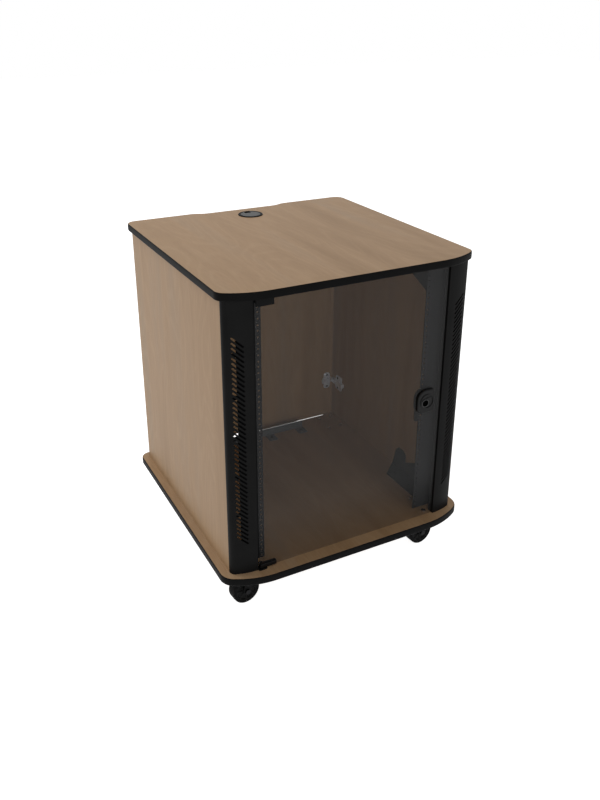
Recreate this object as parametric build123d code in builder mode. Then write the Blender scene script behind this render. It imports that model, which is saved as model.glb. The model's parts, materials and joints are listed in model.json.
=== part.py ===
"""Audio visual cart: a 16-unit equipment cabinet in laminate board on four swivel casters.

Millimetres. +X is to the right seen from the front, +Y to the rear, +Z up. The origin is on the
floor under the centre of the base panel.
"""
import os
from math import atan, cos, degrees, radians, sin

from build123d import *

# Board and overall sizes
BASE_WIDTH = 704.0
BASE_DEPTH = 701.0
BASE_THICKNESS = 21.0
TOP_THICKNESS = 19.0
TOP_SIDE_OVERHANG = 11.5
TOP_FRONT_SETBACK = 13.0
CASTER_HEIGHT = 100.0
SIDE_THICKNESS = 19.0
SIDE_BASE_INSET = 23.5
SIDE_FRONT_SETBACK = 59.5
SIDE_REAR_SETBACK = 20.5

# Corners of the two horizontal panels: a small tip arc runs into a wide sweep arc
CORNER_TURN = 60.0
TOP_TIP_RADIUS = 29.0
TOP_SWEEP_RADIUS = 200.0
BASE_TIP_RADIUS = 41.0
BASE_SWEEP_RADIUS = 212.0
REAR_CORNER_RADIUS = 27.0

# Cable recesses in the rear edges of the two panels, with S-shaped ends
TOP_RECESS_FLAT_HALF = 100.0
TOP_RECESS_RUN = 50.0
TOP_RECESS_DEPTH = 13.0
BASE_RECESS_SIDE_GAP = 3.5
BASE_RECESS_RUN = 40.0
BASE_RECESS_DEPTH = 36.5

# Edge moulding: a face band with a tongue in a groove of the board
BAND_THICKNESS = 2.0
BAND_CHAMFER = 0.7
TONGUE_DEPTH = 8.0
TONGUE_HEIGHT = 1.8
GROOVE_CLEARANCE = 0.1

# Rack rails
RACK_UNITS = 16
RACK_UNIT = 44.45
RACK_OPENING = 450.8
RACK_HOLE_SPACING = 465.1
RACK_HOLE_DIAMETER = 5.0
RACK_HOLE_HEIGHTS = (6.35, 22.225, 38.1)
RAIL_END_GAP = 0.4
RAIL_THICKNESS = 2.0
RAIL_SETBACK = 15.0
RAIL_LEG_DEPTH = 45.0
RAIL_WINDOW_COUNT = 6
RAIL_WINDOW_PITCH = 106.0
RAIL_WINDOW_HEIGHT = 96.0
RAIL_WINDOW_SHARE = 0.226
RAIL_WINDOW_EDGE = 3.5

# Front pillars, bent sheet steel
PILLAR_SHEET = 1.5
PILLAR_WIDTH = 66.5
PILLAR_TIP_RADIUS = 16.0
PILLAR_TIP_TURN = 69.0
PILLAR_RETURN_DEPTH = 21.0
PILLAR_FIXING_DEPTH = 12.0
SLOT_COUNT = 44
SLOT_PITCH = 12.0
SLOT_LENGTH = 37.0
SLOT_WIDTH = 4.5
SLOT_SLOPE = 42.0
SLOT_FACING = 76.3
SLOT_CUT_DEPTH = 8.0

# Glass front door
DOOR_SIDE_GAP = 5.5
DOOR_RECESS = 1.0
DOOR_END_GAP = 4.0
GLASS_THICKNESS = 5.0

# Pivot clamps on two corners of the glass, and their pivot plates
CLAMP_LENGTH = 44.0
CLAMP_HEIGHT = 18.0
CLAMP_THICKNESS = 11.0
CLAMP_GRIP = 8.0
CLAMP_END_RADIUS = 5.2
CLAMP_CHAMFER = 1.0
CLAMP_END_GAP = 3.5
NOTCH_CLEARANCE = 0.5
PIVOT_EDGE_DISTANCE = 6.5
PIVOT_RADIUS = 3.0
PIVOT_CLEARANCE = 0.05
PIVOT_PIN_LENGTH = 9.0
PIVOT_BORE_EXTRA = 0.8
PIVOT_PLATE_WIDTH = 23.0
PIVOT_PLATE_DEPTH = 18.0
PIVOT_PLATE_THICKNESS = 2.5
PIVOT_PLATE_CORNER = 3.0
PIVOT_BOSS_RADIUS = 4.5
PART_GAP = 0.3

# Key lock of the front door
LOCK_EDGE_DISTANCE = 51.5
LOCK_BELOW_MIDDLE = 1.5
LOCK_CASE_WIDTH = 51.0
LOCK_CASE_HEIGHT = 63.0
LOCK_CASE_SHIFT = 2.0
LOCK_CASE_DEPTH = 10.0
LOCK_CASE_TOP_CORNER = 24.0
LOCK_CASE_LOWER_CORNER = 14.0
LOCK_CASE_OUTER_CORNER = 7.0
LOCK_CASE_EDGE = 2.0
LOCK_PLATE_DEPTH = 9.0
LOCK_PLATE_MARGIN = 2.0
LOCK_SLEEVE_RADIUS = 10.9
LOCK_RING_RADIUS = 20.0
LOCK_RING_WIDTH = 2.5
LOCK_RING_HEIGHT = 1.6
LOCK_RING_SHIFT = (6.0, 3.5)
LOCK_WELL_RADIUS = 10.0
LOCK_WELL_DEPTH = 6.5
LOCK_PAD_WIDTH = 13.0
LOCK_PAD_HEIGHT = 22.0
LOCK_PAD_RISE = 1.2
LOCK_PAD_SHIFT = 5.5
BARREL_RADIUS = 9.0
BARREL_CLEARANCE = 0.06
BARREL_SETBACK = 6.0
KEYWAY_WIDTH = 2.2
KEYWAY_HEIGHT = 9.0
KEYWAY_DEPTH = 3.0
GLASS_HOLE_RADIUS = 11.0
CAM_THICKNESS = 2.5
CAM_HUB_RADIUS = 9.0
CAM_TIP_RADIUS = 7.0
CAM_REACH = 61.0
CAM_BEHIND_FLANGE = 1.4

# Rear door, inset between the side panels
REAR_DOOR_THICKNESS = 19.0
REAR_DOOR_SIDE_GAP = 4.0
REAR_DOOR_TOP_GAP = 3.0
REAR_DOOR_CABLE_GAP = 11.0
REAR_DOOR_EDGING = 1.0

# Concealed cup hinges
HINGE_END_DISTANCE = 128.0
CUP_RADIUS = 17.5
CUP_WALL = 1.2
CUP_DEPTH = 11.5
CUP_EDGE_DISTANCE = 22.5
CUP_HOLE_CLEARANCE = 0.1
CUP_FLANGE_LENGTH = 56.0
CUP_FLANGE_WIDTH = 16.0
CUP_FLANGE_THICKNESS = 1.2
HINGE_PLATE_LENGTH = 50.0
HINGE_PLATE_WIDTH = 18.0
HINGE_PLATE_THICKNESS = 3.0
HINGE_PLATE_SETBACK = 47.0
HINGE_ARM_WIDTH = 13.0
HINGE_ARM_HEIGHT = 9.0
HINGE_ARM_LENGTH = 66.0
HINGE_ARM_GAP = 0.6
HINGE_ARM_CHAMFER = 2.25
HINGE_FLANGE_CORNER = 5.5

# Cam lock of the rear door
REAR_LOCK_WALL_DISTANCE = 40.5
REAR_LOCK_FLANGE_RADIUS = 11.5
REAR_LOCK_FLANGE_DEPTH = 2.0
REAR_LOCK_BODY_RADIUS = 9.5
REAR_LOCK_BODY_DEPTH = 24.0
REAR_LOCK_NUT_WIDTH = 24.0
REAR_LOCK_NUT_DEPTH = 4.0
REAR_BARREL_RADIUS = 7.0
REAR_BARREL_SETBACK = 0.5
REAR_CAM_REACH = 27.0
STRIKE_HEIGHT = 40.0
STRIKE_LEG = 40.0
STRIKE_TAB = 17.5
STRIKE_THICKNESS = 2.0
STRIKE_DOOR_GAP = 2.7
STRIKE_CAM_GAP = 1.3

# Rail brackets: bent sheet, with a flange on the board and a web on the side panel
BRACKET_SHEET = 2.0
BRACKET_FLANGE_WIDTH = 49.0
BRACKET_LENGTH = 179.0
BRACKET_CORNER_CUT = 42.0
BRACKET_BOLT_OPENING = 10.0
BRACKET_SCREW_INSETS = (10.0, 80.0)
LOWER_WEB_STEP_Y = 70.0
LOWER_WEB_HEIGHT = 94.0
LOWER_WEB_STEP_HEIGHT = 37.0
EAR_START = 17.0
EAR_WIDTH = 48.0
EAR_HEIGHT = 70.0
EAR_TOP_RADIUS = 12.0
UPPER_WEB_RAIL_HEIGHT = 153.0
UPPER_WEB_REAR_HEIGHT = 88.0
UPPER_WEB_TOE = 30.0

# Angles that hold the top at the rear
ANGLE_LEG = 30.0
ANGLE_LENGTH = 40.0
ANGLE_REAR_DISTANCE = 160.0

# Cable bar on the floor at the rear
CABLE_BAR_LENGTH = 344.0
CABLE_BAR_HEIGHT = 23.0
CABLE_BAR_SHEET = 2.0
CABLE_BAR_DOOR_DISTANCE = 37.0
CABLE_FOOT_COUNT = 4
CABLE_FOOT_WIDTH = 28.0
CABLE_FOOT_DEPTH = 40.0

# Cable grommet in the top
GROMMET_EDGE_DISTANCE = 83.5
GROMMET_HOLE_RADIUS = 30.0
GROMMET_CLEARANCE = 0.2
GROMMET_RIM_RADIUS = 35.0
GROMMET_RIM_HEIGHT = 2.2
GROMMET_WALL = 1.8
GROMMET_LEDGE_WIDTH = 3.0
GROMMET_LEDGE_DEPTH = 0.8
GROMMET_LEDGE_THICKNESS = 2.0
GROMMET_LENGTH = 17.0
CAP_THICKNESS = 2.4
CAP_SKIRT_DEPTH = 6.0
CAP_SLOT_WIDTH = 18.0
CAP_SLOT_DEPTH = 14.0

# Casters
CASTER_SIDE_SETBACK = 84.0
CASTER_FRONT_SETBACK = 85.5
CASTER_REAR_SETBACK = 93.5
CASTER_HEADING = 186.0
CASTER_TRAIL = 12.0
CASTER_PLATE_WIDTH = 62.0
CASTER_PLATE_DEPTH = 84.0
CASTER_PLATE_THICKNESS = 2.5
CASTER_PLATE_CORNER = 8.0
CASTER_BOLT_SPACING_X = 44.0
CASTER_BOLT_SPACING_Y = 66.0
RACEWAY_RADIUS = 20.0
RACEWAY_DEPTH = 5.5
KINGPIN_RADIUS = 6.0
KINGPIN_HEAD_RADIUS = 10.0
KINGPIN_HEAD_HEIGHT = 3.5
KINGPIN_CLEARANCE = 0.06
CROWN_RADIUS = 22.0
CROWN_THICKNESS = 5.5
FORK_LEG_THICKNESS = 2.5
FORK_LEG_END_RADIUS = 11.0
FORK_LEG_BACK = 16.0
WHEEL_TOP_CLEARANCE = 7.4
WHEEL_WIDTH = 29.0
WHEEL_HUB_WIDTH = 31.4
WHEEL_HUB_RADIUS = 10.0
WHEEL_TREAD_THICKNESS = 8.5
WHEEL_WEB_RECESS = 4.0
WHEEL_SHOULDER = 3.0
AXLE_RADIUS = 4.0
AXLE_CLEARANCE = 0.08
AXLE_HEAD_SIZE = 13.0
AXLE_HEAD_HEIGHT = 4.5

# Fasteners
BOLT_RADIUS = 3.0
BOLT_HEAD_SIZE = 12.0
BOLT_HEAD_HEIGHT = 3.2
BOLT_HOLE_RADIUS = 3.3
BOLT_POINT = 1.0
NUT_SIZE = 10.0
NUT_HEIGHT = 5.0
SCREW_RADIUS = 2.0
SCREW_LENGTH = 12.0
SCREW_HEAD_RADIUS = 4.5
SCREW_HEAD_HEIGHT = 2.4
RAIL_SCREW_COUNT = 4
RAIL_SCREW_END = 60.0
BASE_SCREW_RADIUS = 2.5
BASE_SCREW_LENGTH = 50.0
BASE_SCREW_HEAD_RADIUS = 5.0
BASE_SCREW_SPACING = 180.0

# Heights and places that follow from the sizes above
clear_height = RACK_UNITS * RACK_UNIT + 2 * RAIL_END_GAP
floor_z = CASTER_HEIGHT + BASE_THICKNESS
ceiling_z = floor_z + clear_height
top_z = ceiling_z + TOP_THICKNESS
middle_z = (floor_z + ceiling_z) / 2
rear_y = BASE_DEPTH / 2
base_front_y = -BASE_DEPTH / 2
top_front_y = base_front_y + TOP_FRONT_SETBACK
side_outer_x = BASE_WIDTH / 2 - SIDE_BASE_INSET
side_inner_x = side_outer_x - SIDE_THICKNESS
side_rear_y = rear_y - SIDE_REAR_SETBACK
side_front_y = base_front_y + SIDE_FRONT_SETBACK
side_depth = side_rear_y - side_front_y
side_middle_y = (side_front_y + side_rear_y) / 2

pillar_start_y = side_front_y - PILLAR_SHEET
pillar_inner_x = side_outer_x - PILLAR_WIDTH
tip_cos = cos(radians(PILLAR_TIP_TURN))
tip_sin = sin(radians(PILLAR_TIP_TURN))
pillar_tip_x = side_outer_x - PILLAR_TIP_RADIUS
pillar_sweep_radius = PILLAR_TIP_RADIUS + (pillar_tip_x - pillar_inner_x) / tip_cos
pillar_sweep_y = pillar_start_y + (pillar_sweep_radius - PILLAR_TIP_RADIUS) * tip_sin
pillar_front_y = pillar_sweep_y - pillar_sweep_radius
pillar_return_y = pillar_front_y + PILLAR_RETURN_DEPTH

glass_front_y = pillar_front_y + DOOR_RECESS
glass_back_y = glass_front_y + GLASS_THICKNESS
glass_middle_y = (glass_front_y + glass_back_y) / 2
door_half = pillar_inner_x - DOOR_SIDE_GAP
pivot_x = -door_half + PIVOT_EDGE_DISTANCE

rail_front_y = side_front_y + RAIL_SETBACK
rail_leg_rear_y = rail_front_y + RAIL_LEG_DEPTH
rack_half = RACK_OPENING / 2
rack_hole_x = RACK_HOLE_SPACING / 2

rear_door_half = side_inner_x - REAR_DOOR_SIDE_GAP
rear_door_outer_y = side_rear_y
rear_door_inner_y = rear_door_outer_y - REAR_DOOR_THICKNESS
rear_door_bottom_z = floor_z + REAR_DOOR_CABLE_GAP
rear_door_top_z = ceiling_z - REAR_DOOR_TOP_GAP
rear_door_height = rear_door_top_z - rear_door_bottom_z
rear_door_middle_z = (rear_door_bottom_z + rear_door_top_z) / 2
cup_x = rear_door_half - CUP_EDGE_DISTANCE
hinge_heights = (floor_z + HINGE_END_DISTANCE, ceiling_z - HINGE_END_DISTANCE)
rear_lock_x = -side_inner_x + REAR_LOCK_WALL_DISTANCE

caster_x = BASE_WIDTH / 2 - CASTER_SIDE_SETBACK
caster_places = {
    "front_left": (-caster_x, base_front_y + CASTER_FRONT_SETBACK),
    "front_right": (caster_x, base_front_y + CASTER_FRONT_SETBACK),
    "rear_left": (-caster_x, rear_y - CASTER_REAR_SETBACK),
    "rear_right": (caster_x, rear_y - CASTER_REAR_SETBACK),
}
caster_bolt_places = [
    (x + i * CASTER_BOLT_SPACING_X / 2, y + j * CASTER_BOLT_SPACING_Y / 2)
    for x, y in caster_places.values()
    for i in (-1, 1)
    for j in (-1, 1)
]
base_screw_places = [
    (side * (side_outer_x - SIDE_THICKNESS / 2), side_middle_y + step * BASE_SCREW_SPACING)
    for side in (-1, 1)
    for step in (-1, 0, 1)
]
rail_screw_heights = [
    floor_z + RAIL_SCREW_END + i * (clear_height - 2 * RAIL_SCREW_END) / (RAIL_SCREW_COUNT - 1)
    for i in range(RAIL_SCREW_COUNT)
]
rail_screw_y = rail_front_y + RAIL_LEG_DEPTH / 2
cable_bar_y = rear_door_inner_y - CABLE_BAR_DOOR_DISTANCE
cable_foot_pitch = (CABLE_BAR_LENGTH - CABLE_FOOT_WIDTH) / (CABLE_FOOT_COUNT - 1)
cable_foot_xs = [
    -CABLE_BAR_LENGTH / 2 + CABLE_FOOT_WIDTH / 2 + i * cable_foot_pitch for i in range(CABLE_FOOT_COUNT)
]
cable_screw_y = cable_bar_y - CABLE_FOOT_DEPTH / 2
bracket_rear_y = rail_leg_rear_y + BRACKET_LENGTH
bracket_inner_x = side_inner_x - BRACKET_FLANGE_WIDTH
bracket_screw_x = side_inner_x - BRACKET_FLANGE_WIDTH / 2
bracket_screw_ys = [bracket_rear_y - BRACKET_CORNER_CUT - inset for inset in BRACKET_SCREW_INSETS]
bracket_screw_places = [(side * bracket_screw_x, y) for side in (-1, 1) for y in bracket_screw_ys]
cable_screw_places = [(x, cable_screw_y) for x in cable_foot_xs]

upright = (Align.CENTER, Align.CENTER, Align.MIN)
hanging = (Align.CENTER, Align.CENTER, Align.MAX)

os.makedirs("parts", exist_ok=True)


def save(builder, name):
    """Labels a finished piece and writes it under the name of its node."""
    builder.part.label = name
    export_step(builder.part, f"parts/{name}.step")


def save_mirrored(builder, name, about=Plane.YZ):
    """Writes the mirror image of a finished piece."""
    with BuildPart() as mirrored:
        mirror(builder.part, about=about)
    save(mirrored, name)


def panel_outline(width, front_y, tip_radius, sweep_radius, recess_half, recess_run, recess_depth):
    """Plan of a horizontal panel: swept front corners, small rear corners and a recess in the rear edge."""
    tip_x = width / 2 - tip_radius
    sweep_x = tip_x - (sweep_radius - tip_radius) * cos(radians(CORNER_TURN))
    sweep_y = front_y + sweep_radius
    tip_y = sweep_y - (sweep_radius - tip_radius) * sin(radians(CORNER_TURN))
    corner_x = width / 2 - REAR_CORNER_RADIUS
    corner_y = rear_y - REAR_CORNER_RADIUS
    turn = 2 * degrees(atan(recess_depth / recess_run))
    radius = recess_run / (2 * sin(radians(turn)))
    with BuildSketch() as outline:
        with BuildLine():
            Line((0, front_y), (sweep_x, front_y))
            CenterArc((sweep_x, sweep_y), sweep_radius, -90, 90 - CORNER_TURN)
            CenterArc((tip_x, tip_y), tip_radius, -CORNER_TURN, CORNER_TURN)
            Line((width / 2, tip_y), (width / 2, corner_y))
            CenterArc((corner_x, corner_y), REAR_CORNER_RADIUS, 0, 90)
            Line((corner_x, rear_y), (recess_half, rear_y))
            into = JernArc((recess_half, rear_y), (-1, 0), radius, turn)
            out = JernArc(into @ 1, into % 1, radius, -turn)
            Line(out @ 1, (0, rear_y - recess_depth))
            mirror(about=Plane.YZ)
        make_face()
    return outline


def edge_moulding(outline, z, thickness):
    """Face band round a board, with its tongue in the middle of the edge."""
    with BuildPart() as band:
        with BuildSketch(Plane.XY.offset(z)):
            add(outline.sketch)
            offset(outline.sketch, amount=-BAND_THICKNESS, mode=Mode.SUBTRACT)
        extrude(amount=thickness)
        ends = band.faces().filter_by(Axis.Z)
        rims = [face.outer_wire().edges() for face in (ends.sort_by(Axis.Z)[0], ends.sort_by(Axis.Z)[-1])]
        chamfer([edge for rim in rims for edge in rim], length=BAND_CHAMFER)
        with BuildSketch(Plane.XY.offset(z + (thickness - TONGUE_HEIGHT) / 2)):
            offset(outline.sketch, amount=-BAND_THICKNESS)
            offset(outline.sketch, amount=-BAND_THICKNESS - TONGUE_DEPTH, mode=Mode.SUBTRACT)
        extrude(amount=TONGUE_HEIGHT)
    return band


def grooved_board(outline, z, thickness):
    """Board inside its edge moulding, with the groove for the tongue."""
    groove_height = TONGUE_HEIGHT + 2 * GROOVE_CLEARANCE
    groove_end = BAND_THICKNESS + TONGUE_DEPTH + GROOVE_CLEARANCE
    with BuildPart() as board:
        with BuildSketch(Plane.XY.offset(z)):
            offset(outline.sketch, amount=-BAND_THICKNESS)
        extrude(amount=thickness)
        with BuildSketch(Plane.XY.offset(z + (thickness - groove_height) / 2)):
            offset(outline.sketch, amount=-BAND_THICKNESS)
            offset(outline.sketch, amount=-groove_end, mode=Mode.SUBTRACT)
        extrude(amount=groove_height, mode=Mode.SUBTRACT)
    return board


def key_barrel(x, z, front_y, length, radius):
    """Round barrel along Y with a keyway in its outer end; a negative length runs towards the front."""
    with BuildPart() as barrel:
        with BuildSketch(Plane.XZ.offset(-front_y)):
            with Locations((x, z)):
                Circle(radius)
        extrude(amount=-length)
        with BuildSketch(Plane.XZ.offset(-front_y)):
            with Locations((x, z)):
                Rectangle(KEYWAY_WIDTH, KEYWAY_HEIGHT)
        extrude(amount=-KEYWAY_DEPTH if length > 0 else KEYWAY_DEPTH, mode=Mode.SUBTRACT)
    return barrel


def hanging_cam(x, z, y, reach):
    """Flat cam that hangs down from its hub, square to Y."""
    with BuildPart() as cam:
        with BuildSketch(Plane.XZ.offset(-y)):
            with Locations((x, z)):
                Circle(CAM_HUB_RADIUS)
            with Locations((x, z - reach)):
                Circle(CAM_TIP_RADIUS)
            make_hull()
        extrude(amount=-CAM_THICKNESS)
    return cam


# Base panel with its caster bolt holes and screw holes
base_outline = panel_outline(
    BASE_WIDTH,
    base_front_y,
    BASE_TIP_RADIUS,
    BASE_SWEEP_RADIUS,
    side_inner_x - BASE_RECESS_SIDE_GAP,
    BASE_RECESS_RUN,
    BASE_RECESS_DEPTH,
)
base_panel = grooved_board(base_outline, CASTER_HEIGHT, BASE_THICKNESS)
with base_panel:
    with Locations(*[(x, y, floor_z) for x, y in caster_bolt_places]):
        Hole(radius=BOLT_HOLE_RADIUS, depth=BASE_THICKNESS)
    with Locations(*[Location((x, y, CASTER_HEIGHT), (180, 0, 0)) for x, y in base_screw_places]):
        CounterSinkHole(BASE_SCREW_RADIUS, BASE_SCREW_HEAD_RADIUS, BASE_THICKNESS)
    with Locations(*[(x, y, floor_z) for x, y in bracket_screw_places + cable_screw_places]):
        Hole(radius=SCREW_RADIUS, depth=SCREW_LENGTH - BRACKET_SHEET)
save(base_panel, "base_panel")
save(edge_moulding(base_outline, CASTER_HEIGHT, BASE_THICKNESS), "base_edge_band")

# Top panel with the grommet hole
top_outline = panel_outline(
    2 * (side_outer_x + TOP_SIDE_OVERHANG),
    top_front_y,
    TOP_TIP_RADIUS,
    TOP_SWEEP_RADIUS,
    TOP_RECESS_FLAT_HALF + TOP_RECESS_RUN,
    TOP_RECESS_RUN,
    TOP_RECESS_DEPTH,
)
grommet_y = rear_y - GROMMET_EDGE_DISTANCE
top_panel = grooved_board(top_outline, ceiling_z, TOP_THICKNESS)
with top_panel:
    with Locations((0, grommet_y, top_z)):
        Hole(radius=GROMMET_HOLE_RADIUS, depth=TOP_THICKNESS)
    with Locations(*[Location((x, y, ceiling_z), (180, 0, 0)) for x, y in bracket_screw_places]):
        Hole(radius=SCREW_RADIUS, depth=SCREW_LENGTH - BRACKET_SHEET)
save(top_panel, "top_panel")
save(edge_moulding(top_outline, ceiling_z, TOP_THICKNESS), "top_edge_band")

# Side panels, with pilot holes for the rail screws and the base screws
with BuildPart() as right_side:
    with BuildSketch(Plane.XY.offset(floor_z)):
        with Locations((side_outer_x - SIDE_THICKNESS / 2, side_middle_y)):
            Rectangle(SIDE_THICKNESS, side_depth)
    extrude(amount=clear_height)
    with Locations(*[Location((side_inner_x, rail_screw_y, z), (0, -90, 0)) for z in rail_screw_heights]):
        Hole(radius=SCREW_RADIUS, depth=SCREW_LENGTH - RAIL_THICKNESS)
    with Locations(*[Location((x, y, floor_z), (180, 0, 0)) for x, y in base_screw_places if x > 0]):
        Hole(radius=BASE_SCREW_RADIUS, depth=BASE_SCREW_LENGTH - BASE_THICKNESS)
save(right_side, "right_side_panel")
save_mirrored(right_side, "left_side_panel")

# Screws up through the base into the side panels
with BuildPart() as base_screw:
    with BuildSketch(Plane.XZ):
        with BuildLine():
            Polyline(
                (0, 0),
                (BASE_SCREW_HEAD_RADIUS, 0),
                (BASE_SCREW_RADIUS, BASE_SCREW_HEAD_RADIUS - BASE_SCREW_RADIUS),
                (BASE_SCREW_RADIUS, BASE_SCREW_LENGTH),
                (0, BASE_SCREW_LENGTH),
                close=True,
            )
        make_face()
    revolve(axis=Axis.Z)
with BuildPart() as base_screws:
    with Locations(*[(x, y, CASTER_HEIGHT) for x, y in base_screw_places]):
        add(base_screw.part)
save(base_screws, "base_screws")

# Front pillars: sheet bent round the corner, with a fixing flange and an inner return, and the vent slots
slot_plane_x = pillar_inner_x + pillar_sweep_radius * cos(radians(SLOT_FACING))
slot_plane_y = pillar_sweep_y - pillar_sweep_radius * sin(radians(SLOT_FACING))
slot_plane = Plane(
    origin=(slot_plane_x, slot_plane_y, middle_z),
    x_dir=(sin(radians(SLOT_FACING)), cos(radians(SLOT_FACING)), 0),
    z_dir=(cos(radians(SLOT_FACING)), -sin(radians(SLOT_FACING)), 0),
)
inner_tip_radius = PILLAR_TIP_RADIUS - PILLAR_SHEET
inner_sweep_radius = pillar_sweep_radius - PILLAR_SHEET
return_inner_x = pillar_inner_x + PILLAR_SHEET
sweep_end_y = pillar_sweep_y - (inner_sweep_radius**2 - PILLAR_SHEET**2) ** 0.5
sweep_end_turn = degrees(atan(PILLAR_SHEET / (pillar_sweep_y - sweep_end_y)))
fixing_end_y = side_front_y + PILLAR_FIXING_DEPTH
with BuildPart() as right_pillar:
    with BuildSketch(Plane.XY.offset(floor_z)):
        with BuildLine():
            Polyline(
                (side_outer_x, pillar_start_y),
                (side_outer_x, side_front_y),
                (side_inner_x, side_front_y),
                (side_inner_x, fixing_end_y),
                (side_inner_x - PILLAR_SHEET, fixing_end_y),
                (side_inner_x - PILLAR_SHEET, pillar_start_y),
                (side_outer_x - PILLAR_SHEET, pillar_start_y),
            )
            CenterArc((pillar_tip_x, pillar_start_y), PILLAR_TIP_RADIUS, -PILLAR_TIP_TURN, PILLAR_TIP_TURN)
            CenterArc((pillar_inner_x, pillar_sweep_y), pillar_sweep_radius, -90, 90 - PILLAR_TIP_TURN)
            Polyline(
                (pillar_inner_x, pillar_front_y),
                (pillar_inner_x, pillar_return_y),
                (return_inner_x, pillar_return_y),
                (return_inner_x, sweep_end_y),
            )
            CenterArc(
                (pillar_inner_x, pillar_sweep_y),
                inner_sweep_radius,
                -90 + sweep_end_turn,
                90 - PILLAR_TIP_TURN - sweep_end_turn,
            )
            CenterArc((pillar_tip_x, pillar_start_y), inner_tip_radius, -PILLAR_TIP_TURN, PILLAR_TIP_TURN)
        make_face()
    extrude(amount=clear_height)
    with BuildSketch(slot_plane):
        with GridLocations(SLOT_PITCH, SLOT_PITCH, 1, SLOT_COUNT):
            Rectangle(SLOT_LENGTH, SLOT_WIDTH, rotation=SLOT_SLOPE)
    extrude(amount=SLOT_CUT_DEPTH, both=True, mode=Mode.SUBTRACT)
save(right_pillar, "right_front_pillar")
save_mirrored(right_pillar, "left_front_pillar")

# Rack rails: a front flange with the hole column and air windows behind the vents, and a side leg
rail_z = floor_z + RAIL_END_GAP
rail_window_width = RAIL_WINDOW_SHARE * (side_inner_x - rack_half)
rail_window_x = side_inner_x - RAIL_WINDOW_EDGE - rail_window_width / 2
rack_hole_zs = [rail_z + unit * RACK_UNIT + h for unit in range(RACK_UNITS) for h in RACK_HOLE_HEIGHTS]
with BuildPart() as right_rail:
    with BuildSketch(Plane.XY.offset(rail_z)):
        with BuildLine():
            Polyline(
                (rack_half, rail_front_y),
                (side_inner_x, rail_front_y),
                (side_inner_x, rail_leg_rear_y),
                (side_inner_x - RAIL_THICKNESS, rail_leg_rear_y),
                (side_inner_x - RAIL_THICKNESS, rail_front_y + RAIL_THICKNESS),
                (rack_half, rail_front_y + RAIL_THICKNESS),
                close=True,
            )
        make_face()
    extrude(amount=RACK_UNITS * RACK_UNIT)
    with BuildSketch(Plane.XZ.offset(-rail_front_y)):
        with Locations(*[(rack_hole_x, z) for z in rack_hole_zs]):
            Circle(RACK_HOLE_DIAMETER / 2)
        with Locations((rail_window_x, middle_z)):
            with GridLocations(rail_window_width, RAIL_WINDOW_PITCH, 1, RAIL_WINDOW_COUNT):
                Rectangle(rail_window_width, RAIL_WINDOW_HEIGHT)
    extrude(amount=-RAIL_THICKNESS, mode=Mode.SUBTRACT)
    with Locations(*[Location((side_inner_x - RAIL_THICKNESS, rail_screw_y, z), (0, -90, 0))
                     for z in rail_screw_heights]):
        Hole(radius=SCREW_RADIUS, depth=RAIL_THICKNESS)
save(right_rail, "right_rack_rail")
save_mirrored(right_rail, "left_rack_rail")


def web_and_flange(web_points, board_z, flange_side, openings=()):
    """Bracket of one bent sheet: web on the side panel, flange on the board with a cut rear corner."""
    with BuildPart() as bracket:
        with BuildSketch(Plane.YZ.offset(side_inner_x - BRACKET_SHEET)):
            with BuildLine():
                Polyline(*web_points, close=True)
            make_face()
        extrude(amount=BRACKET_SHEET)
        with BuildSketch(Plane.XY.offset(board_z)):
            with BuildLine():
                Polyline(
                    (side_inner_x, rail_leg_rear_y),
                    (side_inner_x, bracket_rear_y),
                    (bracket_inner_x + BRACKET_FLANGE_WIDTH - BRACKET_SHEET, bracket_rear_y),
                    (bracket_inner_x, bracket_rear_y - BRACKET_CORNER_CUT),
                    (bracket_inner_x, rail_leg_rear_y),
                    close=True,
                )
            make_face()
        extrude(amount=flange_side * BRACKET_SHEET)
        with BuildSketch(Plane.XY.offset(board_z)):
            with Locations(*[(bracket_screw_x, y) for y in bracket_screw_ys]):
                Circle(SCREW_RADIUS)
            for place in openings:
                with Locations(place):
                    Circle(BRACKET_BOLT_OPENING)
        extrude(amount=flange_side * BRACKET_SHEET, mode=Mode.SUBTRACT)
    return bracket


# Lower rail bracket: sloped web with a round-topped ear at its rear end
ear_rear_y = bracket_rear_y - EAR_START
ear_front_y = ear_rear_y - EAR_WIDTH
lower_web = [
    (rail_leg_rear_y, floor_z),
    (bracket_rear_y, floor_z),
    (ear_rear_y, floor_z + EAR_HEIGHT - EAR_TOP_RADIUS),
    (ear_rear_y - EAR_TOP_RADIUS, floor_z + EAR_HEIGHT),
    (ear_front_y + EAR_TOP_RADIUS, floor_z + EAR_HEIGHT),
    (ear_front_y, floor_z + EAR_HEIGHT - EAR_TOP_RADIUS),
    (ear_front_y, floor_z + LOWER_WEB_STEP_HEIGHT),
    (rail_leg_rear_y, floor_z + LOWER_WEB_HEIGHT),
]
bolts_in_flange = [place for place in caster_bolt_places if place[0] > bracket_inner_x]
right_lower_bracket = web_and_flange(lower_web, floor_z, 1, bolts_in_flange)
save(right_lower_bracket, "right_lower_rail_bracket")
save_mirrored(right_lower_bracket, "left_lower_rail_bracket")

# Upper rail bracket: a plain gusset under the top
upper_web = [
    (rail_leg_rear_y, ceiling_z),
    (bracket_rear_y, ceiling_z),
    (bracket_rear_y - UPPER_WEB_TOE, ceiling_z - UPPER_WEB_REAR_HEIGHT),
    (rail_leg_rear_y, ceiling_z - UPPER_WEB_RAIL_HEIGHT),
]
right_upper_bracket = web_and_flange(upper_web, ceiling_z, -1)
save(right_upper_bracket, "right_upper_rail_bracket")
save_mirrored(right_upper_bracket, "left_upper_rail_bracket")

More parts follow.
